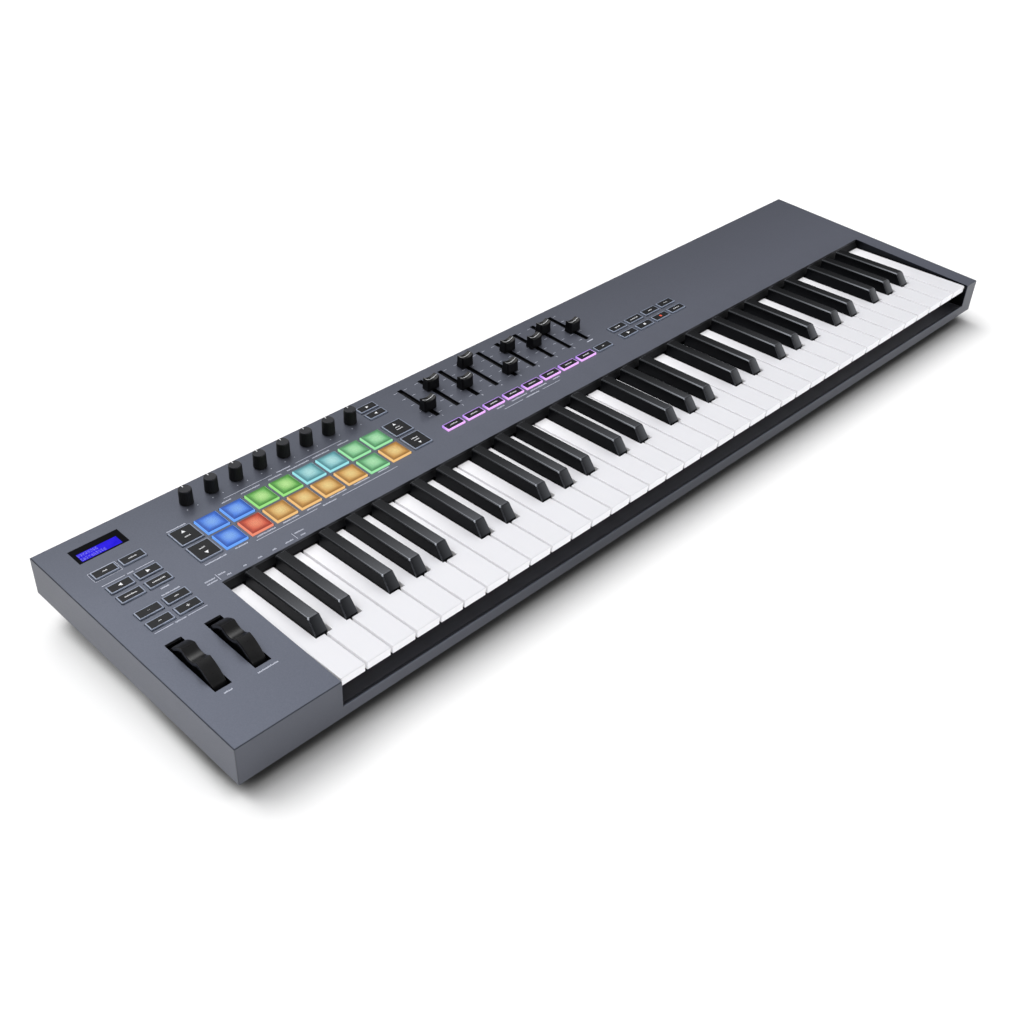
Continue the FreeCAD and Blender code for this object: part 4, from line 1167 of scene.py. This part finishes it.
# ---------------------------------------------------------------- CAD pieces kept as they are
KEPT = {
    "top_case": CASE, "bottom_case": BASE, "keybed_frame": BED, "key_slot_fascia": FASCIA,
    "key_pivot_rod": STEEL, "key_stop_felts": FELT, "key_contact_board": BOARD,
    "key_contact_domes": SILICONE, "key_return_springs": STEEL, "panel_board": BOARD,
    "button_membrane": DARK, "display_window": GLASS, "display_module": DARK,
    "fader_pots": POT, "knob_pots": POT, "wheel_bracket": DARK, "pitch_wheel_spring": STEEL,
    "connector_board": BOARD, "usb_socket": STEEL, "rubber_feet": FOOT, "case_screws": SCREW,
}
for name, material in KEPT.items():
    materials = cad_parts[name].data.materials
    materials.clear()
    materials.append(material)
for name in ("top_case", "bottom_case", "rubber_feet", "keybed_frame"):
    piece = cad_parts[name]
    weld = piece.modifiers.new("weld", "WELD")
    weld.merge_threshold = 1e-6
    bevel = piece.modifiers.new("bevel", "BEVEL")
    bevel.width = 0.0006 if name == "rubber_feet" else 0.00035
    bevel.segments = 2
    bevel.limit_method = "ANGLE"
    bevel.angle_limit = math.radians(28)
    bevel.harden_normals = False
    bevel.use_clamp_overlap = True
    add_weighted_normal(piece, weight=90, keep_sharp=False)


# ---------------------------------------------------------------- floor (metres from here on)
def floor_material():
    """Near white, with a painted contact shadow where the product stands close to it."""
    mat = Material("floor_vis")
    cloud = mat.noise(scale=3.0, detail=4.0)
    # painted shadow: the floor colour darkens with ambient occlusion near the product
    openness = mat.node("AmbientOcclusion", {"Distance": 0.020}, "AO", samples=16)
    pale = mat.mix(cloud, (0.93, 0.93, 0.93), (0.96, 0.96, 0.96))
    color = mat.mix(openness.ramp(0.42, 0.92), (0.14, 0.14, 0.14), pale)
    return mat.surface(color=color, rough=0.85, spec=0.05)


floor_mesh = bpy.data.meshes.new("floor")
floor_mesh.materials.append(floor_material())
bm = bmesh.new()
bmesh.ops.create_grid(bm, x_segments=8, y_segments=8, size=14.0)
bm.to_mesh(floor_mesh)
bm.free()
floor = bpy.data.objects.new("floor", floor_mesh)
bpy.context.scene.collection.objects.link(floor)
floor.location = (0, 0, -0.0002)

# ---------------------------------------------------------------- world
# Strengths: everywhere, high at the rear, high at the front, low at the front left, side card.
SKY_LOW, SKY_REAR, SKY_FRONT, SKY_NEAR, SKY_CARD = 0.07, 2.15, 0.28, 0.05, 1.6

world = bpy.data.worlds.new("studio")
bpy.context.scene.world = world
world.use_nodes = True
background = world.node_tree.nodes["Background"]
background.inputs[0].default_value = (1.0, 1.0, 1.0, 1.0)

sky = Graph(world.node_tree)
direction = sky.node("TexCoord", {}, "Generated")
height = sky.split(direction)[2]
to_rear = sky.dot(direction, (-0.50, 0.866, 0.0))
to_near = sky.dot(direction, (-0.80, -0.60, 0.0))
to_card = sky.dot(direction, (0.844, -0.436, 0.312))
high = to_rear.ramp(-0.35, 0.45, to=(SKY_FRONT, SKY_REAR), smooth=True)
lift = height.ramp(0.40, 0.77, smooth=True) * high
fill = (to_near.ramp(0.1, 0.9, to=(0.0, SKY_NEAR), smooth=True)
        * height.ramp(0.25, 0.55, to=(1.0, 0.0), smooth=True))
card = to_card.ramp(0.84, 0.985, to=(0.0, SKY_CARD), smooth=True)
total = lift + card + fill + SKY_LOW
# the camera itself sees plain white
is_camera = sky.node("LightPath", {}, "Is Camera Ray")
sky.put(background.inputs[1], sky.node("Mix", {0: is_camera, 2: total, 3: 1.0}))

# ---------------------------------------------------------------- lights
SUNS = (             # name, energy, angular size, azimuth from +X, elevation (degrees)
    ("softbox", 1.30, 48, 100, 54),
    ("front_fill", 0.95, 5, -88, 3.5))
for name, energy, size, azimuth, elevation in SUNS:
    light = bpy.data.lights.new(name, "SUN")
    light.energy = energy
    light.angle = math.radians(size)
    sun = bpy.data.objects.new(name, light)
    bpy.context.scene.collection.objects.link(sun)
    az, el = math.radians(azimuth), math.radians(elevation)
    towards = Vector((math.cos(az) * math.cos(el), math.sin(az) * math.cos(el), math.sin(el)))
    sun.rotation_mode = "QUATERNION"
    sun.rotation_quaternion = (-towards).to_track_quat("-Z", "Y")

# ---------------------------------------------------------------- camera
CAMERA_RIGHT = (0.70460, -0.70961, 0.00024)
CAMERA_UP = (0.41862, 0.41593, 0.80731)
CAMERA_FORWARD = (0.57297, 0.56873, -0.59012)

lens = bpy.data.cameras.new("camera")
camera = bpy.data.objects.new("camera", lens)
bpy.context.scene.collection.objects.link(camera)
pose = Matrix.Identity(4)
for i, axes in enumerate(zip(CAMERA_RIGHT, CAMERA_UP, CAMERA_FORWARD)):
    pose[i][0], pose[i][1], pose[i][2] = axes[0], axes[1], -axes[2]
pose.translation = (-0.77290, -0.67557, 0.67169)
camera.matrix_world = pose
lens.sensor_width = 36.0
lens.lens = 46.21
lens.clip_start = 0.01
lens.clip_end = 100.0
bpy.context.scene.camera = camera

view = bpy.context.scene.view_settings
view.view_transform = "Standard"
view.look = "None"
view.exposure = 0.0
view.gamma = 1.0
